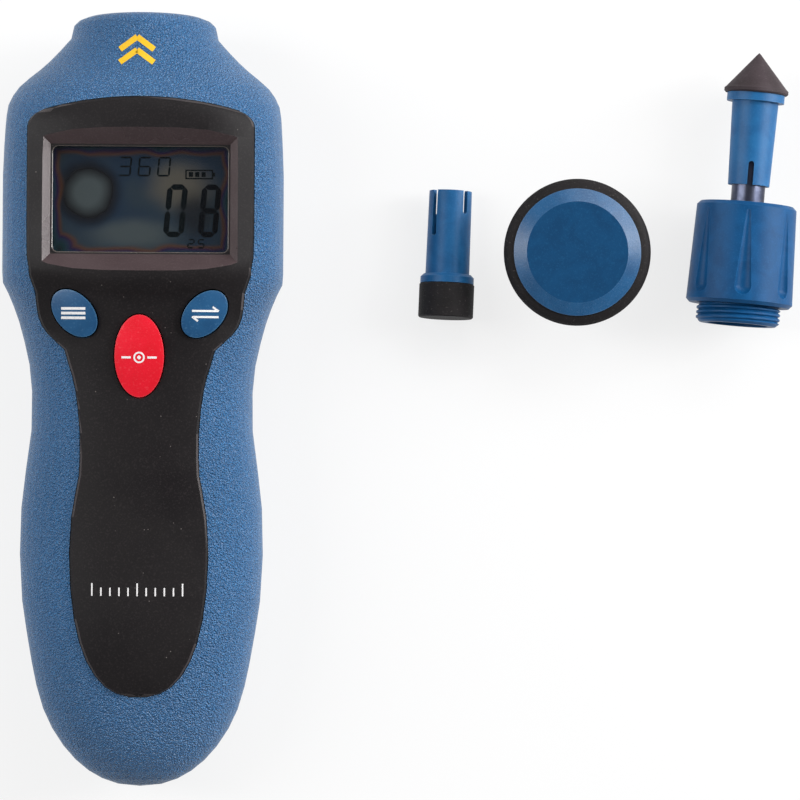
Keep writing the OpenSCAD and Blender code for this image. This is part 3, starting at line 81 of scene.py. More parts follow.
class Graph:
    """A material's node graph, with short calls for the nodes used here."""

    def __init__(self, name):
        self.mat = bpy.data.materials.new(name)
        self.mat.use_nodes = True
        self.tree = self.mat.node_tree
        self.bsdf = self.tree.nodes["Principled BSDF"]
        self.where = self.node("ShaderNodeTexCoord").outputs["Object"]

    def node(self, kind, **settings):
        n = self.tree.nodes.new(kind)
        for k, v in settings.items():
            setattr(n, k, v)
        return n

    def put(self, socket, value):
        if isinstance(value, bpy.types.NodeSocket):
            self.tree.links.new(value, socket)
        else:
            socket.default_value = value

    def noise(self, per_mm, detail=2.0, rough=0.5, distort=0.0):
        n = self.node("ShaderNodeTexNoise")
        self.put(n.inputs["Vector"], self.where)
        n.inputs["Scale"].default_value = per_mm / MM
        n.inputs["Detail"].default_value = detail
        n.inputs["Roughness"].default_value = rough
        n.inputs["Distortion"].default_value = distort
        return n.outputs["Fac"]

    def cells(self, per_mm, feature="SMOOTH_F1", where=None, smooth=0.6):
        n = self.node("ShaderNodeTexVoronoi", feature=feature)
        self.put(n.inputs["Vector"], where or self.where)
        n.inputs["Scale"].default_value = per_mm / MM
        if feature == "SMOOTH_F1":
            n.inputs["Smoothness"].default_value = smooth
        return n.outputs["Distance"]

    def warp(self, per_mm, amount_mm):
        """The coordinates pushed about by noise."""
        n = self.node("ShaderNodeTexNoise")
        self.put(n.inputs["Vector"], self.where)
        n.inputs["Scale"].default_value = per_mm / MM
        n.inputs["Detail"].default_value = 1.0
        half = self.node("ShaderNodeVectorMath", operation="SUBTRACT")
        self.put(half.inputs[0], n.outputs["Color"])
        half.inputs[1].default_value = (0.5, 0.5, 0.5)
        push = self.node("ShaderNodeVectorMath", operation="SCALE")
        self.put(push.inputs[0], half.outputs[0])
        push.inputs["Scale"].default_value = 2 * amount_mm * MM
        add = self.node("ShaderNodeVectorMath", operation="ADD")
        self.put(add.inputs[0], self.where)
        self.put(add.inputs[1], push.outputs[0])
        return add.outputs[0]

    def math(self, operation, a, b=0.0, c=0.0):
        n = self.node("ShaderNodeMath", operation=operation)
        for socket, value in zip(n.inputs, (a, b, c)):
            self.put(socket, value)
        return n.outputs[0]

    def span(self, value, low, high, to_low=0.0, to_high=1.0, soft=True):
        n = self.node("ShaderNodeMapRange", interpolation_type="SMOOTHSTEP" if soft else "LINEAR")
        self.put(n.inputs["Value"], value)
        for key, v in (("From Min", low), ("From Max", high), ("To Min", to_low), ("To Max", to_high)):
            n.inputs[key].default_value = v
        return n.outputs["Result"]

    def mix(self, share, a, b):
        n = self.node("ShaderNodeMix", data_type="RGBA")
        self.put(n.inputs[0], share)
        self.put(n.inputs[6], a)
        self.put(n.inputs[7], b)
        return n.outputs[2]

    def ramp(self, value, stops):
        n = self.node("ShaderNodeValToRGB")
        self.put(n.inputs["Fac"], value)
        band = n.color_ramp.elements
        while len(band) < len(stops):
            band.new(0.5)
        for e, (at, colour) in zip(band, stops):
            e.position = at
            e.color = colour
        return n.outputs["Color"]

    def bump(self, height, depth_mm):
        n = self.node("ShaderNodeBump")
        self.put(n.inputs["Height"], height)
        n.inputs["Distance"].default_value = depth_mm * MM
        n.inputs["Strength"].default_value = 1.0
        return n.outputs["Normal"]

    def edges(self, radius_mm, low=0.02, high=0.25):
        """1 on convex and concave edges, 0 on flat ground."""
        bevel = self.node("ShaderNodeBevel", samples=4)
        bevel.inputs["Radius"].default_value = radius_mm * MM
        dot = self.node("ShaderNodeVectorMath", operation="DOT_PRODUCT")
        self.put(dot.inputs[0], bevel.outputs["Normal"])
        self.put(dot.inputs[1], self.node("ShaderNodeNewGeometry").outputs["Normal"])
        turned = self.math("SUBTRACT", 1.0, dot.outputs["Value"])
        return self.span(turned, low, high)

    def finish(self, colour, rough, normal=None, **constants):
        """Wire the shader up. Constants go straight to its sockets, by name."""
        self.put(self.bsdf.inputs["Base Color"], colour)
        self.put(self.bsdf.inputs["Roughness"], rough)
        if normal is not None:
            self.put(self.bsdf.inputs["Normal"], normal)
        for key, value in constants.items():
            self.bsdf.inputs[key.replace("_", " ").title().replace("Ior", "IOR")].default_value = value
        return self.mat


def dress(names, material):
    """Give CAD nodes a material in each of their slots."""
    for name in names:
        mesh = NODES[name].data
        if not mesh.materials:
            mesh.materials.append(material)
        for i in range(len(mesh.materials)):
            mesh.materials[i] = material


def shade(bm, angle):
    """Smooth faces, with sharp edges where the surface turns by more than the angle."""
    for f in bm.faces:
        f.smooth = True
    for e in bm.edges:
        e.smooth = len(e.link_faces) == 2 and e.calc_face_angle(0) < math.radians(angle)


def add_object(name, mesh, materials, body):
    """Put a mesh in the scene with its materials, riding on a body of the frame."""
    for m in materials:
        mesh.materials.append(m)
    obj = bpy.data.objects.new(name, mesh)
    bpy.context.scene.collection.objects.link(obj)
    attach(obj, body)
    return obj


def smooth_copy(name, new_name, material, body, angle=32, zones=(), rim=0.0):
    """A welded copy of a CAD node that shades smoothly over its facets, in the node's place.

    Each zone is a material and a test that picks its faces. A rim, in millimetres, rounds the edge
    between the node's top and its sides.
    """
    mesh = NODES[name].data.copy()
    mesh.materials.clear()
    bm = bmesh.new()
    bm.from_mesh(mesh)
    bmesh.ops.remove_doubles(bm, verts=bm.verts, dist=0.002 * MM)
    bm.normal_update()
    if rim:
        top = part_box(name)[1][2]
        edges = [e for e in bm.edges if len(e.link_faces) == 2
                 and min(v.co.z for v in e.verts) > top - 1.6 * MM
                 and max(f.normal.z for f in e.link_faces) > 0.75
                 and abs(min(f.normal.z for f in e.link_faces)) < 0.3]
        bmesh.ops.bevel(bm, geom=edges, offset=rim * MM, offset_type="OFFSET", segments=4, profile=0.5,
                        affect="EDGES", clamp_overlap=True)
        bm.normal_update()
    for i, (_, test) in enumerate(zones):
        for f in bm.faces:
            if test(f):
                f.material_index = i + 1
    shade(bm, angle)
    bm.to_mesh(mesh)
    bm.free()
    obj = add_object(new_name, mesh, [material] + [m for m, _ in zones], body)
    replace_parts(obj, name)
    return obj


def loft(name, loops, material, body, angle):
    """A skin over equal loops of points, in millimetres, joined last to first."""
    bm = bmesh.new()
    rows = [[bm.verts.new(Vector(p) * MM) for p in loop] for loop in loops]
    n = len(rows[0])
    for a, b in zip(rows, rows[1:] + rows[:1]):
        for i in range(n):
            bm.faces.new((a[i], a[(i + 1) % n], b[(i + 1) % n], b[i]))
    bmesh.ops.recalc_face_normals(bm, faces=bm.faces)
    shade(bm, angle)
    mesh = bpy.data.meshes.new(name)
    bm.to_mesh(mesh)
    bm.free()
    return add_object(name, mesh, [material], body)


def round_rect(half_w, half_h, r, z, x, y):
    """A loop of points round a rectangle with rounded corners."""
    pts, corner = [], 8
    for k, (sx, sy) in enumerate(((1, 1), (-1, 1), (-1, -1), (1, -1))):
        for i in range(corner + 1):
            t = math.radians(90 * (k + i / corner))
            pts.append((x + sx * (half_w - r) + r * math.cos(t), y + sy * (half_h - r) + r * math.sin(t), z))
    return pts


def ground(objects):
    """The height of the topmost of some surfaces over a point, in millimetres."""
    verts, faces = [], []
    for obj in objects:
        base = len(verts)
        verts += [v.co.copy() for v in obj.data.vertices]
        faces += [[base + i for i in p.vertices] for p in obj.data.polygons]
    tree = BVHTree.FromPolygons(verts, faces)

    def height(x, y):
        hit = tree.ray_cast(Vector((x * MM, y * MM, 0.1)), Vector((0, 0, -1)))[0]
        return hit.z / MM
    return height


def prints(name, strokes, height, material, body, lift=0.035, sink=0.05, step=0.3):
    """Thin printed strokes that lie on a surface. A stroke is a list of (x, y, half width)."""
    bm = bmesh.new()
    for stroke in strokes:
        line = [stroke[0]]
        for p, q in zip(stroke, stroke[1:]):
            n = max(1, math.ceil(math.dist(p[:2], q[:2]) / step))
            line += [tuple(p[k] + (q[k] - p[k]) * i / n for k in range(3)) for i in range(1, n + 1)]
        rows = []
        for i, (x, y, half) in enumerate(line):
            a, b = line[max(0, i - 1)], line[min(len(line) - 1, i + 1)]
            along = Vector((b[0] - a[0], b[1] - a[1])).normalized()
            top, low = [], []
            for k in (-1, 0, 1):
                px, py = x - along.y * half * k, y + along.x * half * k
                z = height(px, py)
                top.append(bm.verts.new(Vector((px, py, z + lift)) * MM))
                low.append(bm.verts.new(Vector((px, py, z - sink)) * MM))
            rows.append((top, low))
        for (t0, l0), (t1, l1) in zip(rows, rows[1:]):
            for k in (0, 1):
                bm.faces.new((t0[k], t0[k + 1], t1[k + 1], t1[k]))
                bm.faces.new((l0[k], l1[k], l1[k + 1], l0[k + 1]))
            bm.faces.new((t0[0], t1[0], l1[0], l0[0]))
            bm.faces.new((t0[2], l0[2], l1[2], t1[2]))
        for top, low in (rows[0], rows[-1]):
            bm.faces.new((top[0], low[0], low[1], top[1]))
            bm.faces.new((top[1], low[1], low[2], top[2]))
    bmesh.ops.recalc_face_normals(bm, faces=bm.faces)
    shade(bm, 40)
    mesh = bpy.data.meshes.new(name)
    bm.to_mesh(mesh)
    bm.free()
    return add_object(name, mesh, [material], body)


def digit(x, y, w, h, stroke, lit, slant=0.09, gap=0.06):
    """The strokes of a seven-segment digit; lit names its segments a to g."""
    half_w, half_h, s = w / 2 - stroke / 2, h / 2 - stroke / 2, stroke / 2
    ends = {"a": ((-half_w, half_h), (half_w, half_h)), "b": ((half_w, half_h), (half_w, 0)),
            "c": ((half_w, 0), (half_w, -half_h)), "d": ((half_w, -half_h), (-half_w, -half_h)),
            "e": ((-half_w, -half_h), (-half_w, 0)), "f": ((-half_w, 0), (-half_w, half_h)),
            "g": ((-half_w, 0), (half_w, 0))}
    out = []
    for key in lit:
        (ax, ay), (bx, by) = ends[key]
        length = math.hypot(bx - ax, by - ay)
        ux, uy = (bx - ax) / length, (by - ay) / length
        spots = ((gap, 0.03), (gap + s, s - gap / 2), (length - gap - s, s - gap / 2), (length - gap, 0.03))
        line = [(ax + ux * t, ay + uy * t, half) for t, half in spots]
        out.append([(x + px + slant * py, y + py, half) for px, py, half in line])
    return out


def moved(strokes, x, y):
    """Strokes shifted to a place."""
    return [[(x + px, y + py, half) for px, py, half in line] for line in strokes]


def housing_plastic():
    """Blue moulded shell with its fine leather-like grain, and painted shade in the hollows of the grain."""
    g = Graph("housing_grain")
    warped = g.warp(1.4, 0.2)
    pebbles = g.math("SUBTRACT", 1.0, g.cells(2.7, where=warped, smooth=0.3))
    fine = g.noise(4.5, 2.0, 0.6)
    mottle = g.noise(2.3, 2.0, 0.6)
    broad = g.noise(0.035, 2.0, 0.5)
    height = g.math("MULTIPLY_ADD", fine, 0.3, pebbles)
    parts = g.node("ShaderNodeSeparateXYZ")
    g.put(parts.inputs[0], g.where)
    off_seam = g.math("ABSOLUTE", g.math("SUBTRACT", parts.outputs["Z"], PART_Z * MM))
    seam = g.span(off_seam, 0.08 * MM, 0.22 * MM, 1.0, 0.0)
    height = g.math("MULTIPLY_ADD", seam, -1.6, height)
    tone = g.mix(g.span(broad, 0.35, 0.65), lin(39, 109, 165), lin(45, 117, 176))
    tone = g.mix(g.span(mottle, 0.38, 0.62, 0.0, 0.42), tone, lin(92, 146, 190))
    # Painted shade: the hollows between the pebbles of the grain are darkened.
    tone = g.mix(g.span(pebbles, 0.45, 0.88, 0.7, 0.0), tone, lin(28, 66, 106))
    wear = g.math("MULTIPLY", g.edges(0.5), g.span(g.noise(0.5), 0.4, 0.7, 0.1, 0.45))
    worn = g.mix(wear, tone, lin(112, 152, 188))
    worn = g.mix(g.math("MULTIPLY", seam, 0.85), worn, lin(14, 26, 40))
    rough = g.span(fine, 0.3, 0.7, 0.34, 0.46)
    return g.finish(worn, rough, g.bump(height, 0.42), specular_ior_level=0.55)


def panel_plastic(name="panel_matt", low=(19, 16, 18), high=(25, 22, 23), wear=(60, 54, 55), rough=0.5,
                  gloss=0.2):
    """Matt black panel with very fine texture and light dust."""
    g = Graph(name)
    fine = g.noise(5.5, 3.0, 0.65)
    broad = g.noise(0.05, 3.0, 0.55)
    tone = g.mix(g.span(broad, 0.3, 0.7), lin(*low), lin(*high))
    tone = g.mix(g.span(g.noise(2.6, 2.0, 0.6), 0.5, 0.7, 0.0, 0.25), tone, lin(*wear))
    specks = g.cells(0.55, feature="F1")
    dust = g.math("MULTIPLY", g.span(specks, 0.04, 0.075, 1.0, 0.0), g.span(g.noise(0.3, 1.0), 0.55, 0.62))
    tone = g.mix(g.math("MULTIPLY", dust, 0.55), tone, lin(150, 142, 138))
    tone = g.mix(g.math("MULTIPLY", g.edges(0.2), 0.35), tone, lin(*wear))
    return g.finish(tone, g.span(broad, 0.3, 0.7, rough - 0.05, rough + 0.07), g.bump(fine, 0.02),
                    specular_ior_level=gloss)


def key_plastic(name, low, high, edge):
    """Glossy moulded key, with a painted highlight along its rim."""
    g = Graph(name)
    broad = g.noise(0.18, 2.0)
    fine = g.noise(6.0, 2.0)
    tone = g.mix(g.span(broad, 0.3, 0.7), low, high)
    tone = g.mix(g.span(g.noise(2.2, 2.0), 0.55, 0.75, 0.0, 0.22), tone, edge)
    # Painted highlight: the key's edges are made paler.
    tone = g.mix(g.math("MULTIPLY", g.edges(0.35, 0.01, 0.2), 0.55), tone, edge)
    return g.finish(tone, g.span(fine, 0.3, 0.7, 0.30, 0.40), g.bump(fine, 0.008), specular_ior_level=0.4)


def tip_plastic(name, low, high, edge, rough, speck, gloss):
    """Blue moulding compound of the adapter, sleeves and wheel, with faint flow marks and a painted highlight
    along its edges.
    """
    g = Graph(name)
    flow = g.noise(0.22, 3.0, 0.55, 0.8)
    fine = g.noise(7.0, 2.0, 0.6)
    grain = g.noise(2.8, 3.0, 0.65)
    tone = g.mix(g.span(flow, 0.3, 0.7), low, high)
    tone = g.mix(g.span(grain, 0.52, 0.72, 0.0, speck), tone, edge)
    # Painted highlight: edges are made paler.
    tone = g.mix(g.math("MULTIPLY", g.edges(0.28), 0.5), tone, edge)
    return g.finish(tone, g.span(fine, 0.3, 0.7, rough - 0.04, rough + 0.08), g.bump(grain, 0.02),
                    specular_ior_level=gloss)


def rubber(name, low, high):
    """Matt rubber with dust in its pores."""
    g = Graph(name)
    fine = g.noise(4.0, 4.0, 0.7)
    broad = g.noise(0.25, 2.0)
    tone = g.mix(g.span(broad, 0.3, 0.7), low, high)
    dust = g.span(g.noise(2.4, 2.0, 0.7), 0.62, 0.72)
    tone = g.mix(g.math("MULTIPLY", dust, 0.35), tone, lin(104, 98, 96))
    tone = g.mix(g.math("MULTIPLY", g.edges(0.3), 0.35), tone, lin(80, 74, 73))
    return g.finish(tone, g.span(fine, 0.3, 0.7, 0.62, 0.8), g.bump(fine, 0.04), specular_ior_level=0.3)


def turned_steel(name, axis=(0, 0, 1), base=(80, 84, 100)):
    """Bright steel with the fine rings that a lathe leaves round an axis."""
    g = Graph(name)
    along = g.node("ShaderNodeVectorMath", operation="DOT_PRODUCT")
    g.put(along.inputs[0], g.where)
    along.inputs[1].default_value = axis
    line = g.node("ShaderNodeTexNoise", noise_dimensions="1D")
    g.put(line.inputs["W"], along.outputs["Value"])
    line.inputs["Scale"].default_value = 9 / MM
    line.inputs["Detail"].default_value = 2.0
    smudge = g.noise(0.4, 2.0)
    tone = g.mix(g.span(smudge, 0.3, 0.7), lin(*base), lin(*(v - 18 for v in base)))
    return g.finish(tone, g.span(smudge, 0.3, 0.7, 0.3, 0.44), g.bump(line.outputs["Fac"], 0.006), metallic=1.0)


def plain_plastic(name, low, high, rough=0.45):
    """Plain material of an inner part, between two close tones."""
    g = Graph(name)
    broad = g.noise(0.3, 2.0)
    fine = g.noise(6.0, 2.0)
    tone = g.mix(g.span(broad, 0.3, 0.7), low, high)
    return g.finish(tone, g.span(fine, 0.3, 0.7, rough, rough + 0.1), g.bump(fine, 0.01))


def ink(name, colour, worn, gloss=0.4):
    """Pad-printed ink, a little rubbed away."""
    g = Graph(name)
    rub = g.noise(1.6, 4.0, 0.7)
    tone = g.mix(g.span(rub, 0.5, 0.75, 0.0, 0.6), colour, worn)
    return g.finish(tone, g.span(rub, 0.3, 0.7, 0.42, 0.55), g.bump(rub, 0.006), specular_ior_level=gloss)


def circuit_board():
    """Green solder mask over faint copper tracks, with vias."""
    g = Graph("board_mask")
    tracks = g.cells(0.35, feature="DISTANCE_TO_EDGE")
    line = g.span(tracks, 0.07, 0.11, 1.0, 0.0)
    vias = g.span(g.cells(0.3, feature="F1"), 0.10, 0.14, 1.0, 0.0)
    tone = g.mix(line, lin(16, 78, 48), lin(34, 110, 66))
    tone = g.mix(vias, tone, lin(186, 176, 150))
    return g.finish(tone, g.span(g.noise(3.0), 0.3, 0.7, 0.28, 0.4), g.bump(line, 0.03))


def clear_plastic(name, tint, alpha):
    """See-through plastic with a slight haze."""
    g = Graph(name)
    haze = g.noise(1.2, 3.0, 0.6)
    tone = g.mix(g.span(haze, 0.3, 0.7), tint, tuple(v * 1.2 for v in tint[:3]) + (1.0,))
    return g.finish(tone, g.span(haze, 0.3, 0.7, 0.05, 0.1), g.bump(haze, 0.002), alpha=alpha, ior=1.6)


def encoder_face():
    """Dark disc with the bright bars that the instrument counts."""
    g = Graph("encoder_marks")
    across = Vector(SHAFT_AXIS).cross(Vector((0, 0, 1))).normalized()
    centre = Vector(ADAPTER_PLACE) * MM
    dot = g.node("ShaderNodeVectorMath", operation="DOT_PRODUCT")
    g.put(dot.inputs[0], g.where)
    dot.inputs[1].default_value = across
    side = g.math("ABSOLUTE", g.math("SUBTRACT", dot.outputs["Value"], centre.dot(across)))
    bar = g.span(side, 1.1 * MM, 1.2 * MM, 1.0, 0.0)
    rub = g.noise(1.2, 3.0, 0.6)
    tone = g.mix(bar, g.mix(rub, lin(24, 24, 26), lin(38, 37, 39)), lin(206, 208, 210))
    return g.finish(tone, g.span(rub, 0.3, 0.7, 0.35, 0.5), g.bump(rub, 0.005))


def battery_wrap():
    """Printed steel jacket in two plain bands."""
    g = Graph("battery_jacket")
    parts = g.node("ShaderNodeSeparateXYZ")
    g.put(parts.inputs[0], g.where)
    band = g.span(parts.outputs["Y"], *(y * MM for y in BATTERY_BANDS_Y), soft=False)
    scuff = g.span(g.noise(1.5, 4.0, 0.7), 0.6, 0.75)
    tone = g.mix(band, lin(40, 42, 46), lin(168, 134, 72))
    tone = g.mix(g.math("MULTIPLY", scuff, 0.3), tone, lin(150, 150, 150))
    return g.finish(tone, g.span(g.noise(2.0), 0.3, 0.7, 0.3, 0.45), g.bump(scuff, 0.01), metallic=0.5)


# Tones of a thin film over a dark display: slate, pale, deep blue, warm, dark, brown, violet, teal
FILM_TONES = ((40, 52, 62), (68, 76, 78), (28, 44, 62), (84, 80, 72),
              (20, 20, 24), (82, 50, 26), (36, 24, 58), (14, 44, 48))


def display_film():
    """Liquid crystal behind the window: cloudy stains, and thin-film colours that wander along its edges."""
    g = Graph("display_glass")
    parts = g.node("ShaderNodeSeparateXYZ")
    g.put(parts.inputs[0], g.warp(0.16, 0.8))
    x = g.math("MULTIPLY_ADD", parts.outputs["X"], 1 / MM, -DISPLAY_X)
    y = g.math("MULTIPLY_ADD", parts.outputs["Y"], 1 / MM, -DISPLAY_Y)
    slate, pale, deep, warm, dark, brown, violet, teal = (lin(*c) for c in FILM_TONES)

    def oval(cx, cy, rx, ry):
        u, v = (g.math("DIVIDE", g.math("SUBTRACT", value, centre), reach)
                for value, centre, reach in ((x, cx, rx), (y, cy, ry)))
        return g.math("SQRT", g.math("ADD", g.math("MULTIPLY", u, u), g.math("MULTIPLY", v, v)))

    tone = g.mix(g.span(g.noise(0.09, 2.0, 0.5), 0.35, 0.65), slate, deep)
    # Stains: where from the window's middle and how far they reach, in millimetres, colour and share
    for centre, reach, colour, share in (((-2, -7), (11, 4), pale, 0.9), ((8, 3), (8, 6), warm, 0.9),
                                         ((11, -3), (5, 6), dark, 0.75)):
        tone = g.mix(g.span(oval(*centre, *reach), 0.25, 1.15, share, 0.0), tone, colour)
    blob = oval(-11, 1.5, 8.5, 8.5)
    halo = g.ramp(blob, [(0.0, pale), (0.3, pale), (0.6, dark), (1.0, deep)])
    tone = g.mix(g.span(blob, 0.7, 1.0, 1.0, 0.0), tone, halo)
    # Bands of colour that follow the window's edge and its lower left corner
    edge = g.math("MINIMUM", g.math("SUBTRACT", WINDOW_W / 2, g.math("ABSOLUTE", x)),
                  g.math("SUBTRACT", WINDOW_H / 2, g.math("ABSOLUTE", y)))
    corner = g.math("MULTIPLY", oval(-16.5, -10.5, 1.0, 1.0), 0.6)
    phase = g.math("MULTIPLY_ADD", g.noise(0.11, 1.0), 4.2, g.math("MINIMUM", edge, corner))
    bands = g.ramp(g.math("DIVIDE", phase, 5.0), [(0.2, dark), (0.34, teal), (0.46, deep), (0.56, violet),
                                                  (0.7, brown), (0.9, slate)])
    tone = g.mix(g.span(phase, 3.0, 4.4, 0.9, 0.0), tone, bands)
    specks = g.cells(0.2, feature="F1")
    dust = g.math("MULTIPLY", g.span(specks, 0.02, 0.04, 1.0, 0.0), g.span(g.noise(0.14, 1.0), 0.5, 0.6))
    tone = g.mix(g.math("MULTIPLY", dust, 0.7), tone, lin(170, 170, 168))
    return g.finish(tone, g.span(g.noise(0.6), 0.3, 0.7, 0.10, 0.16), g.bump(g.noise(2.0), 0.002),
                    specular_ior_level=0.3)


BLUE = housing_plastic()
BLACK = panel_plastic()
# A lighter copy of the black panel plastic on the four bevels of the window: a painted sheen.
BEVEL_PAINTED_SHEEN = panel_plastic("panel_bevel_painted_sheen", (66, 54, 56), (76, 63, 65), (104, 90, 90), 0.3, 0.6)
# A lighter copy of the black panel plastic on the chamfer round the panel: a painted highlight.
RIM_PAINTED_HIGHLIGHT = panel_plastic("panel_rim_painted_highlight", (44, 38, 39), (56, 49, 50), (84, 76, 74), 0.4, 0.4)
KEY_BLUE = key_plastic("key_blue_gloss", lin(22, 70, 110), lin(30, 82, 124), lin(92, 138, 172))
KEY_RED = key_plastic("key_red_gloss", lin(213, 13, 34), lin(223, 18, 42), lin(242, 92, 100))
TIP_BLUE = tip_plastic("tip_moulding", lin(18, 82, 131), lin(26, 94, 145), lin(66, 124, 172), 0.42, 0.2, 0.25)
ADAPTER_BLUE = tip_plastic("adapter_moulding", lin(6, 64, 109), lin(10, 74, 122), lin(50, 110, 160),
                           0.42, 0.2, 0.14)
WHEEL_BLUE = tip_plastic("wheel_moulding", lin(6, 57, 95), lin(8, 63, 103), lin(30, 90, 132), 0.5, 0.35, 0.15)
# The wheel's own moulding, made lighter on the sloping ring round its disc: a painted sheen.
WHEEL_BEVEL_PAINTED_SHEEN = tip_plastic("wheel_bevel_painted_sheen", lin(24, 74, 116), lin(30, 84, 128), lin(110, 144, 178),
                          0.3, 0.2, 0.5)
RUBBER = rubber("tyre_rubber", lin(15, 12, 13), lin(22, 18, 20))
CONE_RUBBER = rubber("cone_rubber_grey", lin(50, 41, 44), lin(62, 52, 56))
STEEL = turned_steel("plain_steel")
SHAFT = turned_steel("shaft_steel", SHAFT_AXIS)
WHITE_INK = ink("white_ink", lin(232, 230, 230), lin(170, 168, 170))
YELLOW_INK = ink("yellow_ink", lin(232, 184, 30), lin(190, 150, 40))
SEGMENT_INK = ink("segment_dark", lin(6, 12, 15), lin(9, 15, 19), 0.05)
SEGMENT_FAINT = ink("segment_faint", lin(7, 9, 15), lin(12, 15, 22), 0.05)

dress(["cone_holder", "flat_tip_holder"], TIP_BLUE)
dress(["adapter_body", "adapter_face"], ADAPTER_BLUE)
dress(["flat_tip_rubber"], RUBBER)
dress(["rubber_cone"], CONE_RUBBER)
dress(["adapter_shaft", "shaft_bearings", "shaft_clip"], SHAFT)
dress(["case_screws", "board_screws", "key_switches", "quartz_crystal"], STEEL)
dress(["nose_ring", "optic_holder", "memory_plunger", "measure_plunger", "mode_plunger"],
      plain_plastic("inner_black", lin(30, 29, 31), lin(42, 40, 42)))
dress(["encoder_disc"], encoder_face())
dress(["lcd_holder", "backlight_box"],
      plain_plastic("white_plastic", lin(216, 214, 206), lin(230, 228, 222)))
dress(["contact_strips"], plain_plastic("strip_rubber", lin(196, 150, 150), lin(214, 168, 166), 0.6))
dress(["main_board", "sensor_board"], circuit_board())
dress(["microcontroller", "board_capacitors", "photodiode", "battery_snap"],
      plain_plastic("chip_epoxy", lin(28, 28, 30), lin(40, 40, 43), 0.4))
dress(["display_window"], clear_plastic("window_clear", lin(20, 26, 28), 0.08))
dress(["laser_lens", "receiver_lens"], clear_plastic("lens_clear", lin(170, 190, 200), 0.35))
dress(["optic_window"], clear_plastic("filter_red", lin(80, 8, 14), 0.92))
dress(["lcd_cell"], display_film())
dress(["laser_module"], turned_steel("laser_brass", base=(196, 160, 92)))
dress(["battery"], battery_wrap())
dress(["sensor_leads"], plain_plastic("lead_yellow", lin(200, 172, 44), lin(216, 190, 60)))
dress(["battery_lead_red"], plain_plastic("lead_red", lin(176, 26, 26), lin(192, 38, 36)))
dress(["battery_lead_black"], plain_plastic("lead_black", lin(30, 30, 32), lin(40, 40, 42)))


def in_window(f):
    """The four bevels, which face the middle of the window."""
    c = f.calc_center_median() / MM
    x, y = c.x - DISPLAY_X, c.y - DISPLAY_Y
    return (0.6 < f.normal.z < 0.8 and abs(x) < WINDOW_W / 2 + 3 and abs(y) < WINDOW_H / 2 + 5
            and f.normal.x * x + f.normal.y * y < 0)


def on_chamfer(f):
    """The narrow slope along the panel's outline, not the deck nor the wells of the keys."""
    c = f.calc_center_median() / MM
    longest = max(e.calc_length() for e in f.edges)
    upright = any(abs(g.normal.z) < 0.25 for v in f.verts for g in v.link_faces)
    near_key = any(math.hypot(c.x - x, c.y - y) < reach for x, y, reach in
                   ((SMALL_KEY[0], SMALL_KEY[1], 7.0), (-SMALL_KEY[0], SMALL_KEY[1], 7.0), (*BIG_KEY, 10.0)))
    return (0.3 < f.normal.z < 0.87 and f.calc_area() / longest < 0.32 * MM and upright
            and not near_key and not in_window(f))


def on_wheel_bevel(f):
    """The sloping ring round the top of the wheel's disc."""
    c = f.calc_center_median() / MM
    return 0.6 < f.normal.z < 0.97 and c.z > WHEEL_BEVEL_LOW


shell = smooth_copy("front_shell", "front_shell_skin", BLUE, "housing")
smooth_copy("rear_shell", "rear_shell_skin", BLUE, "housing")
panel = smooth_copy("face_panel", "face_panel_skin", BLACK, "housing", 24,
                    [(BEVEL_PAINTED_SHEEN, in_window), (RIM_PAINTED_HIGHLIGHT, on_chamfer)])
smooth_copy("battery_door", "battery_door_skin", BLUE, "battery_door")
memory = smooth_copy("memory_key", "memory_key_cap", KEY_BLUE, "memory_key", rim=0.35)
mode = smooth_copy("mode_key", "mode_key_cap", KEY_BLUE, "mode_key", rim=0.35)
measure = smooth_copy("measure_key", "measure_key_cap", KEY_RED, "measure_key", rim=0.4)
smooth_copy("wheel_hub", "wheel_hub_disc", WHEEL_BLUE, "speed_wheel", 15, [(WHEEL_BEVEL_PAINTED_SHEEN, on_wheel_bevel)])
smooth_copy("wheel_tyre", "wheel_tyre_ring", RUBBER, "speed_wheel", 50)


def window_trim():
    """A dark ring with rounded corners in the window, painted shade at the step down to the pane, and a pale
    ring inside it, a painted highlight on the pane's edge.
    """
    half_w, half_h, low = WINDOW_W / 2 - 0.01, WINDOW_H / 2 - 0.01, PANE_TOP + 0.01
    at = dict(x=DISPLAY_X, y=DISPLAY_Y)
    # A dark ring at the step down to the pane, which also rounds the window's corners: painted shade.
    loft("window_painted_shade_ring", [round_rect(half_w, half_h, 0.03, low, **at),
                           round_rect(half_w, half_h, 0.03, low + 0.42, **at),
                           round_rect(half_w - 0.24, half_h - 0.24, 1.3, low + 0.42, **at),
                           round_rect(half_w - 0.30, half_h - 0.30, 1.3, low, **at)], RUBBER, "housing", 30)
    # A pale ring on the edge of the pane: a painted highlight.
    loft("window_edge_painted_highlight", [round_rect(half_w - 0.30, half_h - 0.30, 1.3, low, **at),
                         round_rect(half_w - 0.30, half_h - 0.30, 1.3, low + 0.16, **at),
                         round_rect(half_w - 0.46, half_h - 0.46, 1.14, low + 0.03, **at),
                         round_rect(half_w - 0.46, half_h - 0.46, 1.14, low, **at)],
         panel_plastic("pane_edge_painted_highlight", (58, 53, 50), (76, 70, 66), (150, 142, 138), 0.2, 0.6), "housing", 30)


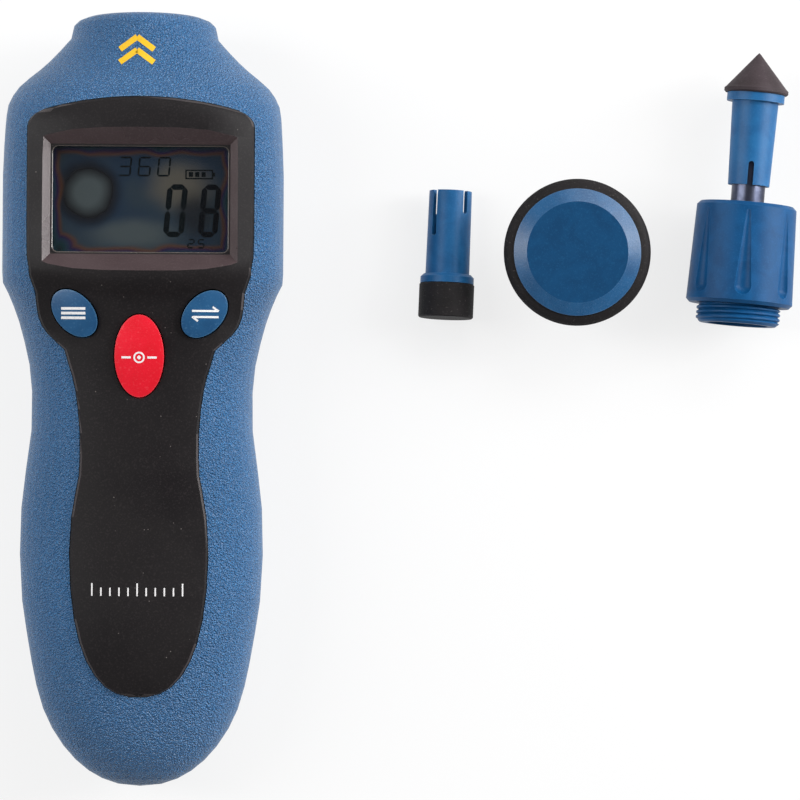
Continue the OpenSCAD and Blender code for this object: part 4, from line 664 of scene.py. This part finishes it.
def display_marks():
    """Plain numbers and a battery gauge in the display."""
    def flat(x, y):
        return CELL_TOP

    big = digit(7.1, -2.2, 4.3, 10.9, 1.2, "abcdef")
    faint = digit(14.1, -2.2, 4.1, 10.9, 1.2, "abcdefg")
    small = [s for x, lit in ((-3.3, "abgcd"), (0.7, "acdefg"), (4.7, "abcdef"))
             for s in digit(x, 6.8, 2.7, 4.1, 0.42, lit)]
    small += [s for x, lit in ((10.3, "abged"), (12.4, "afgcd"))
              for s in digit(x, -8.95, 1.5, 2.0, 0.34, lit)]
    left, right, low, high, pen = 9.2, 14.6, 4.4, 6.1, 0.13
    gauge = [[(left, low, pen), (right, low, pen)], [(left, high, pen), (right, high, pen)],
             [(left, low - pen, pen), (left, high + pen, pen)],
             [(right, low - pen, pen), (right, high + pen, pen)],
             [(right + 0.35, low + 0.45, 0.2), (right + 0.35, high - 0.45, 0.2)]]
    gauge += [[(x, low + 0.35, 0.42), (x, high - 0.35, 0.42)] for x in (10.2, 11.5, 12.8)]
    look = dict(lift=0.04, sink=0.0, step=2.0)
    prints("display_number", moved(big, DISPLAY_X, DISPLAY_Y), flat, SEGMENT_INK, "housing", **look)
    prints("display_number_faint", moved(faint, DISPLAY_X, DISPLAY_Y), flat, SEGMENT_FAINT, "housing", **look)
    prints("display_signs", moved(small + gauge, DISPLAY_X, DISPLAY_Y), flat, SEGMENT_INK, "housing", **look)


def printed_marks():
    """Plain signs in white on the keys and the handle, and the yellow aiming mark on the nose."""
    x, y = SMALL_KEY
    bars = [[(-2.5, k, 0.27), (2.5, k, 0.27)] for k in (-0.95, 0.0, 0.95)]
    prints("memory_sign", moved(bars, -x - 0.2, y), ground([memory]), WHITE_INK, "memory_key")
    pen = 0.21
    swap = [[(-2.7, 0.62, pen), (2.5, 0.62, pen)], [(1.5, 1.45, pen), (2.7, 0.55, pen)],
            [(2.7, -0.62, pen), (-2.5, -0.62, pen)], [(-1.5, -1.45, pen), (-2.7, -0.55, pen)]]
    prints("mode_sign", moved(swap, x + 0.2, y), ground([mode]), WHITE_INK, "mode_key")
    turns = [math.radians(12 * i) for i in range(31)]
    target = [[(1.0 * math.cos(t), 1.0 * math.sin(t), 0.17) for t in turns]]
    target += [[(-0.4, 0.0, 0.05), (-0.2, 0.0, 0.33), (0.0, 0.0, 0.4), (0.2, 0.0, 0.33), (0.4, 0.0, 0.05)]]
    target += [[(k * 1.7, 0.0, 0.22), (k * 3.6, 0.0, 0.22)] for k in (-1, 1)]
    prints("measure_sign", moved(target, BIG_KEY[0], BIG_KEY[1] - 0.3), ground([measure]), WHITE_INK,
           "measure_key")
    ticks = [[(1.86 * k, -1.3, 0.15), (1.86 * k, 1.3 if k % 5 == 0 else 0.4, 0.15)] for k in range(-5, 6)]
    prints("handle_scale", moved(ticks, *SCALE_ROW), ground([panel]), WHITE_INK, "housing")
    arms = [[(k * 3.5, low, 0.6), (0.0, low + 2.6, 0.6)] for k in (-1, 1) for low in (-2.5, 0.2)]
    prints("aim_mark", moved(arms, *AIM_MARK), ground([shell]), YELLOW_INK, "housing")


def adapter_thread():
    """The adapter's threaded base, with its ridges, its plug in the body and its bore."""
    dip, yaw = math.radians(ADAPTER_DIP), math.radians(ADAPTER_YAW)
    place = (Matrix.Translation(Vector(ADAPTER_PLACE)) @ Matrix.Rotation(-yaw, 4, "Z")
             @ Matrix.Rotation(-math.pi / 2 - dip, 4, "X"))
    root, rows, turns, start, stop = THREAD_R - THREAD_DEPTH, 54, 120, 0.3, THREAD_LEN - 0.2

    def loop(r, z, ridge=0.0):
        pts = []
        for i in range(turns):
            t = 2 * math.pi * i / turns
            phase = (z / THREAD_PITCH - i / turns) % 1.0
            crest = min(1.0, max(0.0, 1.6 - 3.2 * abs(phase - 0.5)))
            rr = r + ridge * crest
            pts.append(place @ Vector((rr * math.cos(t), rr * math.sin(t), z)))
        return pts

    loops = [loop(BASE_BORE_R, 0.0), loop(root - 0.35, 0.0)]
    for k in range(rows + 1):
        z = start + (stop - start) * k / rows
        fade = min(1.0, (z - start) / 0.4, (stop - z) / 0.3)
        loops.append(loop(root, z, THREAD_DEPTH * max(0.0, fade)))
    loops += [loop(root, THREAD_LEN), loop(PLUG_R, THREAD_LEN), loop(PLUG_R, PLUG_END),
              loop(BASE_BORE_R, PLUG_END)]
    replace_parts(loft("adapter_thread", loops, ADAPTER_BLUE, "adapter", 35), "adapter_base")


window_trim()
display_marks()
printed_marks()
adapter_thread()


def floor():
    """Pale floor, white to the camera and in reflections, that still shows the object's shadow."""
    g = Graph("floor_white")
    path = g.node("ShaderNodeLightPath")
    seen = g.math("MAXIMUM", path.outputs["Is Camera Ray"],
                  g.math("MAXIMUM", path.outputs["Is Glossy Ray"], path.outputs["Is Transmission Ray"]))
    g.finish(lin(236, 236, 236), 0.9)
    glow = g.node("ShaderNodeEmission")
    glow.inputs["Color"].default_value = (1, 1, 1, 1)
    glow.inputs["Strength"].default_value = 1.0
    blend = g.node("ShaderNodeMixShader")
    g.put(blend.inputs[0], g.math("MULTIPLY", seen, FLOOR_GLOW))
    g.put(blend.inputs[1], g.bsdf.outputs[0])
    g.put(blend.inputs[2], glow.outputs[0])
    g.put(g.tree.nodes["Material Output"].inputs["Surface"], blend.outputs[0])
    half = 1.6
    mesh = bpy.data.meshes.new("floor")
    corners = [(-half, -half, 0), (half, -half, 0), (half, half, 0), (-half, half, 0)]
    mesh.from_pydata(corners, [], [(0, 1, 2, 3)])
    mesh.materials.append(g.mat)
    obj = bpy.data.objects.new("floor", mesh)
    obj.location.z = -0.02 * MM
    bpy.context.scene.collection.objects.link(obj)


def lamp(name, place, target, size, watts):
    """A rectangular soft box aimed at a point; places and sizes in metres."""
    data = bpy.data.lights.new(name, "AREA")
    data.shape = "RECTANGLE"
    data.size, data.size_y = size
    data.energy = watts
    obj = bpy.data.objects.new(name, data)
    obj.location = place
    aim = Vector(target) - Vector(place)
    obj.rotation_euler = aim.to_track_quat("-Z", "Y").to_euler()
    bpy.context.scene.collection.objects.link(obj)


def studio():
    """White surroundings and four soft boxes."""
    world = bpy.data.worlds.new("studio")
    world.use_nodes = True
    back = world.node_tree.nodes["Background"]
    back.inputs["Color"].default_value = (1, 1, 1, 1)
    back.inputs["Strength"].default_value = WORLD_STRENGTH
    bpy.context.scene.world = world
    lamp("left_box", (-0.64, 0.15, 0.58), (0, 0, 0), (0.3, 0.9), 5.3)
    lamp("right_box", (0.94, 0.22, 0.27), (0.03, 0, 0), (0.3, 0.9), 12.0)
    lamp("back_box", (0.4, 0.8, 0.76), (0.03, 0, 0), (0.9, 0.4), 3.6)
    lamp("high_box", (0.66, 0.42, 0.5), (0, 0.03, 0), (0.45, 0.45), 2.4)


def camera():
    """The main camera, from its values above."""
    data = bpy.data.cameras.new("camera")
    data.sensor_width = 36
    data.lens = CAMERA_LENS
    data.clip_start = 0.05
    data.clip_end = 20
    obj = bpy.data.objects.new("camera", data)
    obj.location = Vector(CAMERA_PLACE) * MM
    obj.rotation_euler = (0, 0, math.radians(CAMERA_ROLL))
    bpy.context.scene.collection.objects.link(obj)
    bpy.context.scene.camera = obj


floor()
studio()
camera()
bpy.context.scene.view_settings.view_transform = "Standard"
